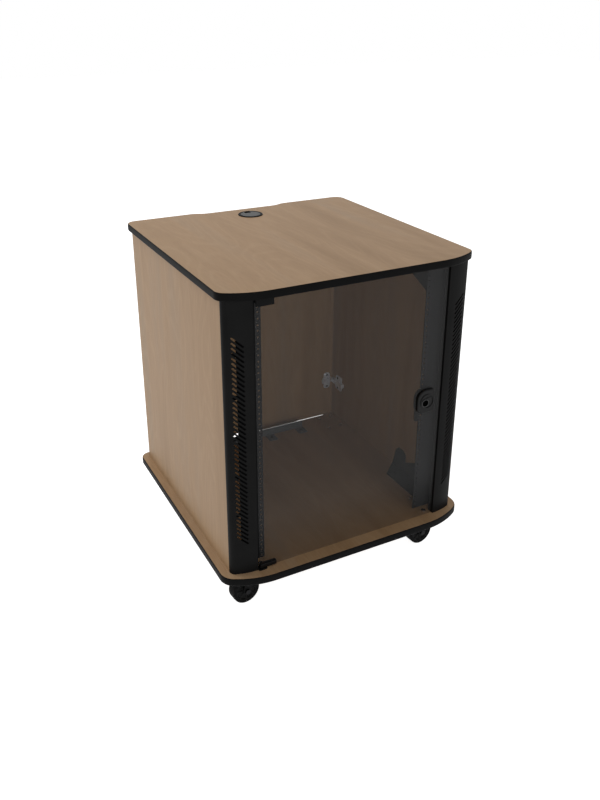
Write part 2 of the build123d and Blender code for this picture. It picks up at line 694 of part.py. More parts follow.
# Rear angles under the top
angle_y = side_rear_y - ANGLE_REAR_DISTANCE
with BuildPart() as top_angles:
    for side in (-1, 1):
        with BuildSketch(Plane.XZ.offset(-angle_y)):
            with BuildLine():
                Polyline(
                    (side * side_inner_x, ceiling_z),
                    (side * side_inner_x, ceiling_z - ANGLE_LEG),
                    (side * (side_inner_x - BRACKET_SHEET), ceiling_z - ANGLE_LEG),
                    (side * (side_inner_x - BRACKET_SHEET), ceiling_z - BRACKET_SHEET),
                    (side * (side_inner_x - ANGLE_LEG), ceiling_z - BRACKET_SHEET),
                    (side * (side_inner_x - ANGLE_LEG), ceiling_z),
                    close=True,
                )
            make_face()
        extrude(amount=ANGLE_LENGTH / 2, both=True)
save(top_angles, "top_angles")

# Cable bar: an upright strip on four forward feet
with BuildPart() as cable_bar:
    with BuildSketch(Plane.XY.offset(floor_z)):
        with Locations((0, cable_bar_y - CABLE_BAR_SHEET / 2)):
            Rectangle(CABLE_BAR_LENGTH, CABLE_BAR_SHEET)
    extrude(amount=CABLE_BAR_HEIGHT)
    with BuildSketch(Plane.XY.offset(floor_z)):
        with Locations(*cable_screw_places):
            Rectangle(CABLE_FOOT_WIDTH, CABLE_FOOT_DEPTH)
        with Locations(*cable_screw_places):
            Circle(SCREW_RADIUS, mode=Mode.SUBTRACT)
    extrude(amount=CABLE_BAR_SHEET)
save(cable_bar, "cable_bar")

# Pan-head screws of the rails, brackets and cable bar
with BuildPart() as screw:
    Cylinder(SCREW_HEAD_RADIUS, SCREW_HEAD_HEIGHT, align=upright)
    Cylinder(SCREW_RADIUS, SCREW_LENGTH, align=hanging)
screw_places = []
rail_screw_x = side_inner_x - RAIL_THICKNESS
for side in (-1, 1):
    for z in rail_screw_heights:
        screw_places.append(Location((side * rail_screw_x, rail_screw_y, z), (0, -side * 90, 0)))
    for y in bracket_screw_ys:
        screw_places.append(Location((side * bracket_screw_x, y, floor_z + BRACKET_SHEET)))
        screw_places.append(Location((side * bracket_screw_x, y, ceiling_z - BRACKET_SHEET), (180, 0, 0)))
for x in cable_foot_xs:
    screw_places.append(Location((x, cable_screw_y, floor_z + CABLE_BAR_SHEET)))
with BuildPart() as frame_screws:
    with Locations(*screw_places):
        add(screw.part)
save(frame_screws, "frame_screws")

# Glass door, notched for the clamps and drilled for the lock
lock_x = door_half - LOCK_EDGE_DISTANCE
lock_z = middle_z - LOCK_BELOW_MIDDLE
glass_height = clear_height - 2 * DOOR_END_GAP
notch_height = CLAMP_END_GAP + CLAMP_HEIGHT - CLAMP_GRIP - DOOR_END_GAP
with BuildPart() as glass:
    with BuildSketch(Plane.XZ.offset(-glass_front_y)):
        with Locations((0, middle_z)):
            Rectangle(2 * door_half, glass_height)
        for end in (-1, 1):
            with Locations((-door_half, middle_z + end * glass_height / 2)):
                Rectangle(2 * (CLAMP_LENGTH + NOTCH_CLEARANCE), 2 * notch_height, mode=Mode.SUBTRACT)
        with Locations((lock_x, lock_z)):
            Circle(GLASS_HOLE_RADIUS, mode=Mode.SUBTRACT)
    extrude(amount=-GLASS_THICKNESS)
save(glass, "front_door_glass")

# Pivot clamps on the glass: round at the pivot end, with a slot for the glass and a blind pivot bore
clamp_z = floor_z + CLAMP_END_GAP
bore_radius = PIVOT_RADIUS + PIVOT_CLEARANCE
with BuildPart() as lower_clamp:
    with BuildSketch(Plane.XY.offset(clamp_z)):
        with Locations((-door_half + CLAMP_LENGTH / 2, glass_middle_y)):
            Rectangle(CLAMP_LENGTH, CLAMP_THICKNESS)
    extrude(amount=CLAMP_HEIGHT)
    fillet(lower_clamp.edges().filter_by(Axis.Z).group_by(Axis.X)[0], radius=CLAMP_END_RADIUS)
    chamfer(lower_clamp.edges().filter_by(Axis.X).group_by(Axis.Z)[-1], length=CLAMP_CHAMFER)
    with BuildSketch(Plane.XY.offset(clamp_z + CLAMP_HEIGHT - CLAMP_GRIP)):
        with Locations((-door_half + CLAMP_LENGTH / 2, glass_middle_y)):
            Rectangle(CLAMP_LENGTH, GLASS_THICKNESS)
    extrude(amount=CLAMP_GRIP, mode=Mode.SUBTRACT)
    with Locations(Location((pivot_x, glass_middle_y, clamp_z), (180, 0, 0))):
        Hole(radius=bore_radius, depth=PIVOT_PIN_LENGTH + PIVOT_BORE_EXTRA)
save(lower_clamp, "lower_door_clamp")
middle_plane = Plane.XY.offset(middle_z)
save_mirrored(lower_clamp, "upper_door_clamp", about=middle_plane)

# Pivot plates with boss and pin
with BuildPart() as lower_pivot:
    plate_x = -pillar_inner_x + PART_GAP + PIVOT_PLATE_WIDTH / 2
    with BuildSketch(Plane.XY.offset(floor_z)):
        with Locations((plate_x, glass_middle_y)):
            RectangleRounded(PIVOT_PLATE_WIDTH, PIVOT_PLATE_DEPTH, PIVOT_PLATE_CORNER)
    extrude(amount=PIVOT_PLATE_THICKNESS)
    with Locations((pivot_x, glass_middle_y, floor_z)):
        Cylinder(PIVOT_BOSS_RADIUS, CLAMP_END_GAP - PART_GAP, align=upright)
        Cylinder(PIVOT_RADIUS, CLAMP_END_GAP + PIVOT_PIN_LENGTH, align=upright)
save(lower_pivot, "lower_pivot_plate")
save_mirrored(lower_pivot, "upper_pivot_plate", about=middle_plane)


def lock_outline(margin):
    """Face of the lock, rounder towards the middle of the door and most of all at its top corner."""
    with BuildSketch(Plane.XZ) as outline:
        with Locations((ring_x - LOCK_CASE_SHIFT, ring_z)):
            Rectangle(LOCK_CASE_WIDTH - 2 * margin, LOCK_CASE_HEIGHT - 2 * margin)
        fillet(outline.vertices().group_by(Axis.X)[-1], radius=LOCK_CASE_OUTER_CORNER - margin)
        top_corner = outline.vertices().group_by(Axis.X)[0].sort_by(Axis.Y)[-1]
        fillet(top_corner, radius=LOCK_CASE_TOP_CORNER - margin)
        lower_corner = outline.vertices().group_by(Axis.X)[0].sort_by(Axis.Y)[0]
        fillet(lower_corner, radius=LOCK_CASE_LOWER_CORNER - margin)
    return outline


# Lock case in front of the glass: raised ring and pad, key well, sleeve through the glass
ring_x = lock_x + LOCK_RING_SHIFT[0]
ring_z = lock_z + LOCK_RING_SHIFT[1]
case_front_y = glass_front_y - LOCK_CASE_DEPTH
sleeve_bore = BARREL_RADIUS + BARREL_CLEARANCE
with BuildPart() as lock_case:
    with BuildSketch(Plane.XZ.offset(-glass_front_y)):
        add(lock_outline(0).sketch)
    extrude(amount=LOCK_CASE_DEPTH)
    chamfer(lock_case.faces().sort_by(Axis.Y)[0].edges(), length=LOCK_CASE_EDGE)
    with BuildSketch(Plane.XZ.offset(-case_front_y)):
        with Locations((ring_x, ring_z)):
            Circle(LOCK_RING_RADIUS)
            Circle(LOCK_RING_RADIUS - LOCK_RING_WIDTH, mode=Mode.SUBTRACT)
    extrude(amount=LOCK_RING_HEIGHT)
    with BuildSketch(Plane.XZ.offset(-case_front_y)):
        with Locations((ring_x + LOCK_PAD_SHIFT, ring_z)):
            Rectangle(LOCK_PAD_WIDTH, LOCK_PAD_HEIGHT)
    extrude(amount=LOCK_PAD_RISE)
    with BuildSketch(Plane.XZ.offset(-case_front_y + LOCK_PAD_RISE)):
        with Locations((lock_x, lock_z)):
            Circle(LOCK_WELL_RADIUS)
    extrude(amount=-LOCK_PAD_RISE - LOCK_WELL_DEPTH, mode=Mode.SUBTRACT)
    with BuildSketch(Plane.XZ.offset(-glass_front_y)):
        with Locations((lock_x, lock_z)):
            Circle(LOCK_SLEEVE_RADIUS)
    extrude(amount=-GLASS_THICKNESS)
    with BuildSketch(Plane.XZ.offset(-glass_back_y)):
        with Locations((lock_x, lock_z)):
            Circle(sleeve_bore)
    extrude(amount=GLASS_THICKNESS + LOCK_CASE_DEPTH, mode=Mode.SUBTRACT)
save(lock_case, "door_lock_case")

# Back plate behind the glass
with BuildPart() as lock_plate:
    with BuildSketch(Plane.XZ.offset(-glass_back_y)):
        add(lock_outline(LOCK_PLATE_MARGIN).sketch)
        with Locations((lock_x, lock_z)):
            Circle(sleeve_bore, mode=Mode.SUBTRACT)
    extrude(amount=-LOCK_PLATE_DEPTH)
    chamfer(lock_plate.faces().sort_by(Axis.Y)[-1].outer_wire().edges(), length=LOCK_CASE_EDGE)
save(lock_plate, "door_lock_plate")

# Key barrel and its cam, which hangs down when the door is unlocked
cam_y = pillar_return_y + CAM_BEHIND_FLANGE
barrel_front_y = case_front_y + BARREL_SETBACK
door_barrel = key_barrel(lock_x, lock_z, barrel_front_y, cam_y - barrel_front_y, BARREL_RADIUS)
save(door_barrel, "door_lock_barrel")
save(hanging_cam(lock_x, lock_z, cam_y, CAM_REACH), "door_lock_cam")

# Rear door: board, edging strip, cup holes and lock hole
rear_lock_z = middle_z
with BuildPart() as rear_door:
    with BuildSketch(Plane.XZ.offset(-rear_door_outer_y)):
        with Locations((0, rear_door_middle_z)):
            Rectangle(2 * (rear_door_half - REAR_DOOR_EDGING), rear_door_height - 2 * REAR_DOOR_EDGING)
        with Locations((rear_lock_x, rear_lock_z)):
            Circle(REAR_LOCK_BODY_RADIUS, mode=Mode.SUBTRACT)
    extrude(amount=REAR_DOOR_THICKNESS)
    with BuildSketch(Plane.XZ.offset(-rear_door_inner_y)):
        with Locations(*[(cup_x, z) for z in hinge_heights]):
            Circle(CUP_RADIUS + CUP_HOLE_CLEARANCE)
    extrude(amount=-CUP_DEPTH - CUP_HOLE_CLEARANCE, mode=Mode.SUBTRACT)
save(rear_door, "rear_door_panel")
with BuildPart() as rear_door_edging:
    with BuildSketch(Plane.XZ.offset(-rear_door_outer_y)):
        with Locations((0, rear_door_middle_z)):
            Rectangle(2 * rear_door_half, rear_door_height)
            Rectangle(
                2 * (rear_door_half - REAR_DOOR_EDGING),
                rear_door_height - 2 * REAR_DOOR_EDGING,
                mode=Mode.SUBTRACT,
            )
    extrude(amount=REAR_DOOR_THICKNESS)
save(rear_door_edging, "rear_door_edge_band")


def hinge_cup(z):
    """Pressed cup sunk in the door, with its flange on the inner face."""
    with BuildPart() as cup:
        with BuildSketch(Plane.XZ.offset(-rear_door_inner_y)):
            with Locations((cup_x, z)):
                Circle(CUP_RADIUS)
        extrude(amount=-CUP_DEPTH)
        with BuildSketch(Plane.XZ.offset(-rear_door_inner_y)):
            with Locations((cup_x, z)):
                RectangleRounded(CUP_FLANGE_WIDTH, CUP_FLANGE_LENGTH, HINGE_FLANGE_CORNER)
                Circle(CUP_RADIUS)
        extrude(amount=CUP_FLANGE_THICKNESS)
        with BuildSketch(Plane.XZ.offset(-rear_door_inner_y + CUP_FLANGE_THICKNESS)):
            with Locations((cup_x, z)):
                Circle(CUP_RADIUS - CUP_WALL)
        extrude(amount=-CUP_FLANGE_THICKNESS - CUP_DEPTH + CUP_WALL, mode=Mode.SUBTRACT)
    return cup


def hinge_arm(z):
    """Cross-shaped plate on the side panel, with the arm that reaches to the cup."""
    arm_end_y = rear_door_inner_y - CUP_FLANGE_THICKNESS - HINGE_ARM_GAP
    plate_y = rear_door_inner_y - HINGE_PLATE_SETBACK
    with BuildPart() as arm:
        with BuildSketch(Plane.YZ.offset(side_inner_x)):
            with Locations((plate_y, z)):
                RectangleRounded(HINGE_PLATE_WIDTH, HINGE_PLATE_LENGTH, HINGE_FLANGE_CORNER)
        extrude(amount=-HINGE_PLATE_THICKNESS)
        with BuildSketch(Plane.YZ.offset(side_inner_x)):
            with Locations((arm_end_y - HINGE_ARM_LENGTH / 2, z)):
                Rectangle(HINGE_ARM_LENGTH, HINGE_ARM_WIDTH)
        extrude(amount=-HINGE_PLATE_THICKNESS - HINGE_ARM_HEIGHT)
        chamfer(arm.faces().sort_by(Axis.X)[0].edges(), length=HINGE_ARM_CHAMFER)
    return arm


for place, hinge_z in zip(("lower", "upper"), hinge_heights):
    save(hinge_cup(hinge_z), f"{place}_hinge_cup")
    save(hinge_arm(hinge_z), f"{place}_hinge_arm")

# Rear cam lock: flanged body with its nut, barrel, cam and the strike on the side panel
lock_body_inner_y = rear_door_outer_y - REAR_LOCK_BODY_DEPTH
strike_y = rear_door_inner_y - STRIKE_DOOR_GAP
rear_cam_y = strike_y - STRIKE_THICKNESS - STRIKE_CAM_GAP - CAM_THICKNESS
with BuildPart() as rear_lock_body:
    with BuildSketch(Plane.XZ.offset(-rear_door_outer_y)):
        with Locations((rear_lock_x, rear_lock_z)):
            Circle(REAR_LOCK_BODY_RADIUS)
    extrude(amount=REAR_LOCK_BODY_DEPTH)
    with BuildSketch(Plane.XZ.offset(-rear_door_outer_y)):
        with Locations((rear_lock_x, rear_lock_z)):
            Circle(REAR_LOCK_FLANGE_RADIUS)
    extrude(amount=-REAR_LOCK_FLANGE_DEPTH)
    with BuildSketch(Plane.XZ.offset(-rear_door_inner_y)):
        with Locations((rear_lock_x, rear_lock_z)):
            RegularPolygon(REAR_LOCK_NUT_WIDTH / 2, 6, major_radius=False)
    extrude(amount=REAR_LOCK_NUT_DEPTH)
    with BuildSketch(Plane.XZ.offset(-rear_door_outer_y - REAR_LOCK_FLANGE_DEPTH)):
        with Locations((rear_lock_x, rear_lock_z)):
            Circle(REAR_BARREL_RADIUS + BARREL_CLEARANCE)
    extrude(amount=REAR_LOCK_BODY_DEPTH + REAR_LOCK_FLANGE_DEPTH, mode=Mode.SUBTRACT)
save(rear_lock_body, "rear_lock_body")
barrel_rear_y = rear_door_outer_y + REAR_LOCK_FLANGE_DEPTH - REAR_BARREL_SETBACK
barrel_length = rear_cam_y + CAM_THICKNESS - barrel_rear_y
rear_barrel = key_barrel(rear_lock_x, rear_lock_z, barrel_rear_y, barrel_length, REAR_BARREL_RADIUS)
save(rear_barrel, "rear_lock_barrel")
save(hanging_cam(rear_lock_x, rear_lock_z, rear_cam_y, REAR_CAM_REACH), "rear_lock_cam")
with BuildPart() as strike:
    with BuildSketch(Plane.XY.offset(rear_lock_z - STRIKE_HEIGHT / 2)):
        with BuildLine():
            Polyline(
                (-side_inner_x, strike_y),
                (-side_inner_x + STRIKE_TAB, strike_y),
                (-side_inner_x + STRIKE_TAB, strike_y - STRIKE_THICKNESS),
                (-side_inner_x + STRIKE_THICKNESS, strike_y - STRIKE_THICKNESS),
                (-side_inner_x + STRIKE_THICKNESS, strike_y - STRIKE_LEG),
                (-side_inner_x, strike_y - STRIKE_LEG),
                close=True,
            )
        make_face()
    extrude(amount=STRIKE_HEIGHT)
save(strike, "rear_lock_strike")

# Grommet: flanged sleeve with an inner ledge, and the lift-out cap with its cable slot
sleeve_radius = GROMMET_HOLE_RADIUS - GROMMET_CLEARANCE
sleeve_inner = sleeve_radius - GROMMET_WALL
ledge_inner = sleeve_inner - GROMMET_LEDGE_WIDTH
ledge_z = -GROMMET_LEDGE_DEPTH
with BuildPart() as grommet_sleeve:
    with BuildSketch(Plane(origin=(0, grommet_y, top_z), x_dir=(1, 0, 0), z_dir=(0, -1, 0))):
        with BuildLine():
            Polyline(
                (sleeve_radius, 0),
                (GROMMET_RIM_RADIUS, 0),
                (GROMMET_RIM_RADIUS - GROMMET_RIM_HEIGHT / 2, GROMMET_RIM_HEIGHT),
                (sleeve_inner, GROMMET_RIM_HEIGHT),
                (sleeve_inner, ledge_z),
                (ledge_inner, ledge_z),
                (ledge_inner, ledge_z - GROMMET_LEDGE_THICKNESS),
                (sleeve_inner, ledge_z - GROMMET_LEDGE_THICKNESS),
                (sleeve_inner, -GROMMET_LENGTH),
                (sleeve_radius, -GROMMET_LENGTH),
                close=True,
            )
        make_face()
    revolve(axis=Axis((0, grommet_y, top_z), (0, 0, 1)))
save(grommet_sleeve, "grommet_sleeve")
cap_radius = sleeve_inner - PART_GAP
skirt_radius = ledge_inner - PART_GAP
cap_z = top_z + ledge_z + PART_GAP
with BuildPart() as grommet_cap:
    with Locations((0, grommet_y, cap_z)):
        Cylinder(cap_radius, CAP_THICKNESS, align=upright)
        Cylinder(skirt_radius, CAP_SKIRT_DEPTH, align=hanging)
        Cylinder(skirt_radius - GROMMET_WALL, CAP_SKIRT_DEPTH, align=hanging, mode=Mode.SUBTRACT)
    with Locations((0, grommet_y + cap_radius, cap_z)):
        Box(CAP_SLOT_WIDTH, 2 * CAP_SLOT_DEPTH, 4 * CAP_SKIRT_DEPTH, mode=Mode.SUBTRACT)
save(grommet_cap, "grommet_cap")

# Caster bolts through the floor, and their nuts
bolt_length = BASE_THICKNESS + CASTER_PLATE_THICKNESS + NUT_HEIGHT + BOLT_POINT
with BuildPart() as bolt:
    with BuildSketch(Plane.XY):
        RegularPolygon(BOLT_HEAD_SIZE / 2, 6, major_radius=False)
    extrude(amount=BOLT_HEAD_HEIGHT)
    Cylinder(BOLT_RADIUS, bolt_length, align=hanging)
with BuildPart() as caster_bolts:
    with Locations(*[(x, y, floor_z) for x, y in caster_bolt_places]):
        add(bolt.part)
save(caster_bolts, "caster_bolts")
nut_z = CASTER_HEIGHT - CASTER_PLATE_THICKNESS - NUT_HEIGHT
with BuildPart() as caster_nuts:
    with BuildSketch(Plane.XY.offset(nut_z)):
        with Locations(*caster_bolt_places):
            RegularPolygon(NUT_SIZE / 2, 6, major_radius=False)
            Circle(BOLT_RADIUS, mode=Mode.SUBTRACT)
    extrude(amount=NUT_HEIGHT)
save(caster_nuts, "caster_nuts")

# Caster pieces, made round the swivel axis with the wheel trailing towards +X
plate_z = CASTER_HEIGHT - CASTER_PLATE_THICKNESS
raceway_z = plate_z - RACEWAY_DEPTH
crown_top_z = raceway_z - PART_GAP
crown_z = crown_top_z - CROWN_THICKNESS
head_top_z = crown_z - PART_GAP
wheel_radius = (head_top_z - KINGPIN_HEAD_HEIGHT - WHEEL_TOP_CLEARANCE) / 2
rim_radius = wheel_radius - WHEEL_TREAD_THICKNESS
axle_z = wheel_radius
leg_inner_y = WHEEL_HUB_WIDTH / 2 + PART_GAP
leg_outer_y = leg_inner_y + FORK_LEG_THICKNESS

with BuildPart() as caster_fork:
    with BuildSketch(Plane.XY.offset(crown_z)):
        Circle(CROWN_RADIUS)
        with Locations(((CASTER_TRAIL - FORK_LEG_BACK) / 2, 0)):
            Rectangle(CASTER_TRAIL + FORK_LEG_BACK, 2 * leg_outer_y)
        Circle(KINGPIN_RADIUS + KINGPIN_CLEARANCE, mode=Mode.SUBTRACT)
    extrude(amount=CROWN_THICKNESS)
    for side in (-1, 1):
        with BuildSketch(Plane.XZ.offset(-side * leg_inner_y)):
            with Locations((CASTER_TRAIL, axle_z)):
                Circle(FORK_LEG_END_RADIUS)
            with Locations(((CASTER_TRAIL - FORK_LEG_BACK) / 2, crown_z + CROWN_THICKNESS / 2)):
                Rectangle(CASTER_TRAIL + FORK_LEG_BACK, CROWN_THICKNESS)
            make_hull()
        extrude(amount=-side * FORK_LEG_THICKNESS)
    with Locations(Location((CASTER_TRAIL, 0, axle_z), (90, 0, 0))):
        Cylinder(AXLE_RADIUS, 4 * leg_outer_y, mode=Mode.SUBTRACT)

wheel_half = WHEEL_WIDTH / 2
hub_half = WHEEL_HUB_WIDTH / 2
web_half = wheel_half - WHEEL_WEB_RECESS
half_profile = [
    (AXLE_RADIUS + AXLE_CLEARANCE, hub_half),
    (WHEEL_HUB_RADIUS, hub_half),
    (WHEEL_HUB_RADIUS, web_half),
    (rim_radius, web_half),
    (rim_radius, wheel_half),
    (wheel_radius - WHEEL_SHOULDER, wheel_half),
    (wheel_radius, wheel_half - WHEEL_SHOULDER),
]
with BuildPart() as caster_wheel:
    with BuildSketch(Plane.XY):
        with BuildLine():
            Polyline(*half_profile, *[(r, -w) for r, w in reversed(half_profile)], close=True)
        make_face()
    revolve(axis=Axis.Y)

with BuildPart() as caster_axle:
    with Locations(Location((CASTER_TRAIL, 0, axle_z), (90, 0, 0))):
        Cylinder(AXLE_RADIUS, 2 * (leg_outer_y + AXLE_HEAD_HEIGHT))
    for side in (-1, 1):
        with BuildSketch(Plane.XZ.offset(-side * leg_outer_y)):
            with Locations((CASTER_TRAIL, axle_z)):
                RegularPolygon(AXLE_HEAD_SIZE / 2, 6, major_radius=False)
        extrude(amount=-side * AXLE_HEAD_HEIGHT)

for place, (x, y) in caster_places.items():
    with BuildPart() as plate:
        with BuildSketch(Plane.XY.offset(plate_z)):
            with Locations((x, y)):
                RectangleRounded(CASTER_PLATE_WIDTH, CASTER_PLATE_DEPTH, CASTER_PLATE_CORNER)
                with GridLocations(CASTER_BOLT_SPACING_X, CASTER_BOLT_SPACING_Y, 2, 2):
                    Circle(BOLT_HOLE_RADIUS, mode=Mode.SUBTRACT)
        extrude(amount=CASTER_PLATE_THICKNESS)
        with Locations((x, y, plate_z)):
            Cylinder(RACEWAY_RADIUS, RACEWAY_DEPTH, align=hanging)
        with Locations((x, y, head_top_z)):
            Cylinder(KINGPIN_RADIUS, raceway_z - head_top_z, align=upright)
            Cylinder(KINGPIN_HEAD_RADIUS, KINGPIN_HEAD_HEIGHT, align=hanging)
    save(plate, f"{place}_caster_plate")
    swivel = Location((x, y, 0), (0, 0, CASTER_HEADING))
    with BuildPart() as fork:
        with Locations(swivel):
            add(caster_fork.part)
    save(fork, f"{place}_caster_fork")
    with BuildPart() as axle:
        with Locations(swivel):
            add(caster_axle.part)
    save(axle, f"{place}_caster_axle")
    with BuildPart() as wheel:
        with Locations(swivel * Location((CASTER_TRAIL, 0, axle_z))):
            add(caster_wheel.part)
    save(wheel, f"{place}_caster_wheel")
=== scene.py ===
# %% [markdown]
# # An audio visual cart
# This lesson dresses a rack cabinet on casters: wood-grain laminate boards with black edge mouldings, curved
# steel corner pillars with vent slots, a smoked glass door, and the fittings seen through it. The solid model
# comes in first as a fixed frame. Everything made here is measured from that frame, in metres, with +X to the
# right seen from the front, +Y to the rear and +Z up.

# %% Load the solid model
import json
import math

import bmesh
import bpy
import numpy as np
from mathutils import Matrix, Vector


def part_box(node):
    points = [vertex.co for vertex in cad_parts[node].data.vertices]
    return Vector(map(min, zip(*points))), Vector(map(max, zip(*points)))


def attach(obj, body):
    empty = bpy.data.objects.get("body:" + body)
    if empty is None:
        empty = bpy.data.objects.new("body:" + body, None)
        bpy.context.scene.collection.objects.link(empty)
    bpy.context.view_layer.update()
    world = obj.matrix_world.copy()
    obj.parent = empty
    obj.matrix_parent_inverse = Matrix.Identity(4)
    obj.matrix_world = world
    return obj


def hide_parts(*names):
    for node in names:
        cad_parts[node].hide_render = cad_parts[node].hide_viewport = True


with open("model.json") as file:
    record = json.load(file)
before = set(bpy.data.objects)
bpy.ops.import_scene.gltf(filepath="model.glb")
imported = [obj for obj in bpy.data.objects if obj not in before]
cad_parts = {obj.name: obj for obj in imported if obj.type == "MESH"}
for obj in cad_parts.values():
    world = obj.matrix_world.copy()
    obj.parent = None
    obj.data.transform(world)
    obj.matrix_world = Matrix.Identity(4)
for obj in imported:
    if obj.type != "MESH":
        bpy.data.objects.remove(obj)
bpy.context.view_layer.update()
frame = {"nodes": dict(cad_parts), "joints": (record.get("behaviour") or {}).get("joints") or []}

# %% [markdown]
# ## Measuring from the frame
# A piece that is placed by typing coordinates drifts away from the part it belongs to. Asking the frame for a
# node's box or a joint's place keeps every later piece seated. The helpers below turn a box into a centre, a size,
# or the two corners as arrays.

# %% Boxes of nodes and joints by name


def centre(node):
    """Middle of a node's box: half of the lowest corner plus the highest corner."""
    low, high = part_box(node)
    return (low + high) / 2


def size(node):
    """Edge lengths of a node's box: the highest corner minus the lowest corner."""
    low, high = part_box(node)
    return high - low


def corner_arrays(node):
    """Lowest and highest corner of a node's box, as arrays."""
    return [np.array(corner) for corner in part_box(node)]


joints = {joint["name"]: joint for joint in frame["joints"]}
floor_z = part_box("base_panel")[1].z

# %% [markdown]
# ## Materials from nodes
# Each finish is a Principled shader with procedural colour, roughness and relief in front of it. Patterns read
# Object coordinates, which are metres in this frame, so a noise scale is a number of features per metre and
# means the same on every board. The helper makes a node and fills in its unlinked sockets in one line.

# %% Nodes and noise


def new_material(name):
    """A material with its node tree and its shader."""
    material = bpy.data.materials.new(name)
    material.use_nodes = True
    return material, material.node_tree, material.node_tree.nodes["Principled BSDF"]


def add_node(tree, kind, settings=(), **sockets):
    """One node of a kind, with settings such as operation and with values for its sockets by name."""
    node = tree.nodes.new("ShaderNode" + kind)
    for key, value in dict(settings).items():
        setattr(node, key, value)
    for key, value in sockets.items():
        node.inputs[key.replace("_", " ")].default_value = value
    return node


def stretched_noise(tree, across, along, grain_axis, detail, shift=0.0):
    """Noise with a feature scale across the grain and a smaller one along it, both per metre."""
    scales = [across, across, across]
    scales["XYZ".index(grain_axis)] = along
    coordinates = add_node(tree, "TexCoord")
    mapping = add_node(tree, "Mapping", Location=(shift, shift, shift), Scale=scales)
    noise = add_node(tree, "TexNoise", Scale=1.0, Detail=detail, Roughness=0.55)
    tree.links.new(coordinates.outputs["Object"], mapping.inputs["Vector"])
    tree.links.new(mapping.outputs["Vector"], noise.inputs["Vector"])
    return noise.outputs["Fac"]


print("nodes and noise ready")

# %% [markdown]
# ## From noise to a finish
# A noise is only a number at each point. A colour ramp turns it into tones, a mix lays one pattern over another,
# a bump turns it into relief, and a spread turns it into a range of roughness.

# %% Colour, relief and roughness


def ramp(tree, source, *stops):
    """Colour ramp with stops of (position, colour)."""
    node = add_node(tree, "ValToRGB")
    while len(node.color_ramp.elements) < len(stops):
        node.color_ramp.elements.new(0.5)
    for element, (position, colour) in zip(node.color_ramp.elements, stops):
        element.position = position
        element.color = (*colour, 1.0)
    tree.links.new(source, node.inputs["Fac"])
    return node.outputs["Color"]


def blend_colours(tree, first, second, factor, mode="MIX"):
    """Mixes two colour sources; the factor is a number or a source."""
    node = add_node(tree, "Mix", {"data_type": "RGBA", "blend_type": mode})
    tree.links.new(first, node.inputs[6])
    tree.links.new(second, node.inputs[7])
    if isinstance(factor, float):
        node.inputs[0].default_value = factor
    else:
        tree.links.new(factor, node.inputs[0])
    return node.outputs[2]


def relief(tree, shader, source, strength, depth):
    """Bump of a source, with its depth in metres."""
    bump = add_node(tree, "Bump", Strength=strength, Distance=depth)
    tree.links.new(source, bump.inputs["Height"])
    tree.links.new(bump.outputs["Normal"], shader.inputs["Normal"])


def wearing(tree, shader, source, low, high):
    """Roughness that runs from low to high with a source."""
    spread = add_node(tree, "MapRange", To_Min=low, To_Max=high)
    tree.links.new(source, spread.inputs["Value"])
    tree.links.new(spread.outputs["Result"], shader.inputs["Roughness"])


print("colour, relief and roughness ready")

# %% [markdown]
# ## Wood-grain laminate
# The boards are faced with a pale brown laminate: soft bands some centimetres wide, thin figure lines that
# wander between them, and tiny pores. All three are noise squeezed along the grain. The figure lines come from
# the sine of a slow noise, which draws contour lines like the growth rings on a cut board. The sides and the
# rear door have the grain upright, and the top and the base have it from front to rear.

# %% Laminate material
PALE_WOOD = (0.420, 0.272, 0.152)
DEEP_WOOD = (0.352, 0.222, 0.118)
GREY_WOOD = (0.385, 0.264, 0.162)
FIGURE_SHADE = (0.90, 0.87, 0.83)
PORE_SHADE = (0.84, 0.80, 0.76)
UNSHADED = (1.0, 1.0, 1.0)
FIGURE_LINES = 120.0


def laminate(name, grain_axis, shift):
    """Bands from slow noise, lines from the sine of 120 times a slow noise, and pores from fast noise."""
    material, tree, shader = new_material(name)
    bands = stretched_noise(tree, 11.0, 0.9, grain_axis, 2.0, shift)
    tone = ramp(tree, bands, (0.30, DEEP_WOOD), (0.52, PALE_WOOD), (0.72, GREY_WOOD))
    slow = stretched_noise(tree, 7.0, 1.3, grain_axis, 1.5, shift + 3.0)
    rings = add_node(tree, "Math", {"operation": "MULTIPLY"})
    rings.inputs[1].default_value = FIGURE_LINES
    tree.links.new(slow, rings.inputs[0])
    wave = add_node(tree, "Math", {"operation": "SINE"})
    tree.links.new(rings.outputs[0], wave.inputs[0])
    figure = ramp(tree, wave.outputs[0], (0.25, FIGURE_SHADE), (0.95, UNSHADED))
    figured = blend_colours(tree, tone, figure, 0.38, "MULTIPLY")
    pores = stretched_noise(tree, 620.0, 22.0, grain_axis, 3.0, shift + 7.0)
    fleck = ramp(tree, pores, (0.36, PORE_SHADE), (0.56, UNSHADED))
    finished = blend_colours(tree, figured, fleck, 0.6, "MULTIPLY")
    tree.links.new(finished, shader.inputs["Base Color"])
    wearing(tree, shader, pores, 0.44, 0.58)
    relief(tree, shader, pores, 0.25, 0.00005)
    shader.inputs["Specular IOR Level"].default_value = 0.22
    return material


upright_laminate = laminate("upright wood-grain laminate", "Z", 0.0)
lengthwise_laminate = laminate("lengthwise wood-grain laminate", "Y", 1.7)
print("laminates:", upright_laminate.name, "and", lengthwise_laminate.name)

# %% [markdown]
# ## Black plastics and painted steel
# Black parts still differ: a moulding is smooth and a little shiny, a powder coat has a fine orange-peel
# relief that spreads its shine, and rubber is almost dull. Each gets its own roughness range and relief scale.
# The steel behind the glass is satin, without any shine: there a mirror reflection would only show as grain.

# %% Black finishes


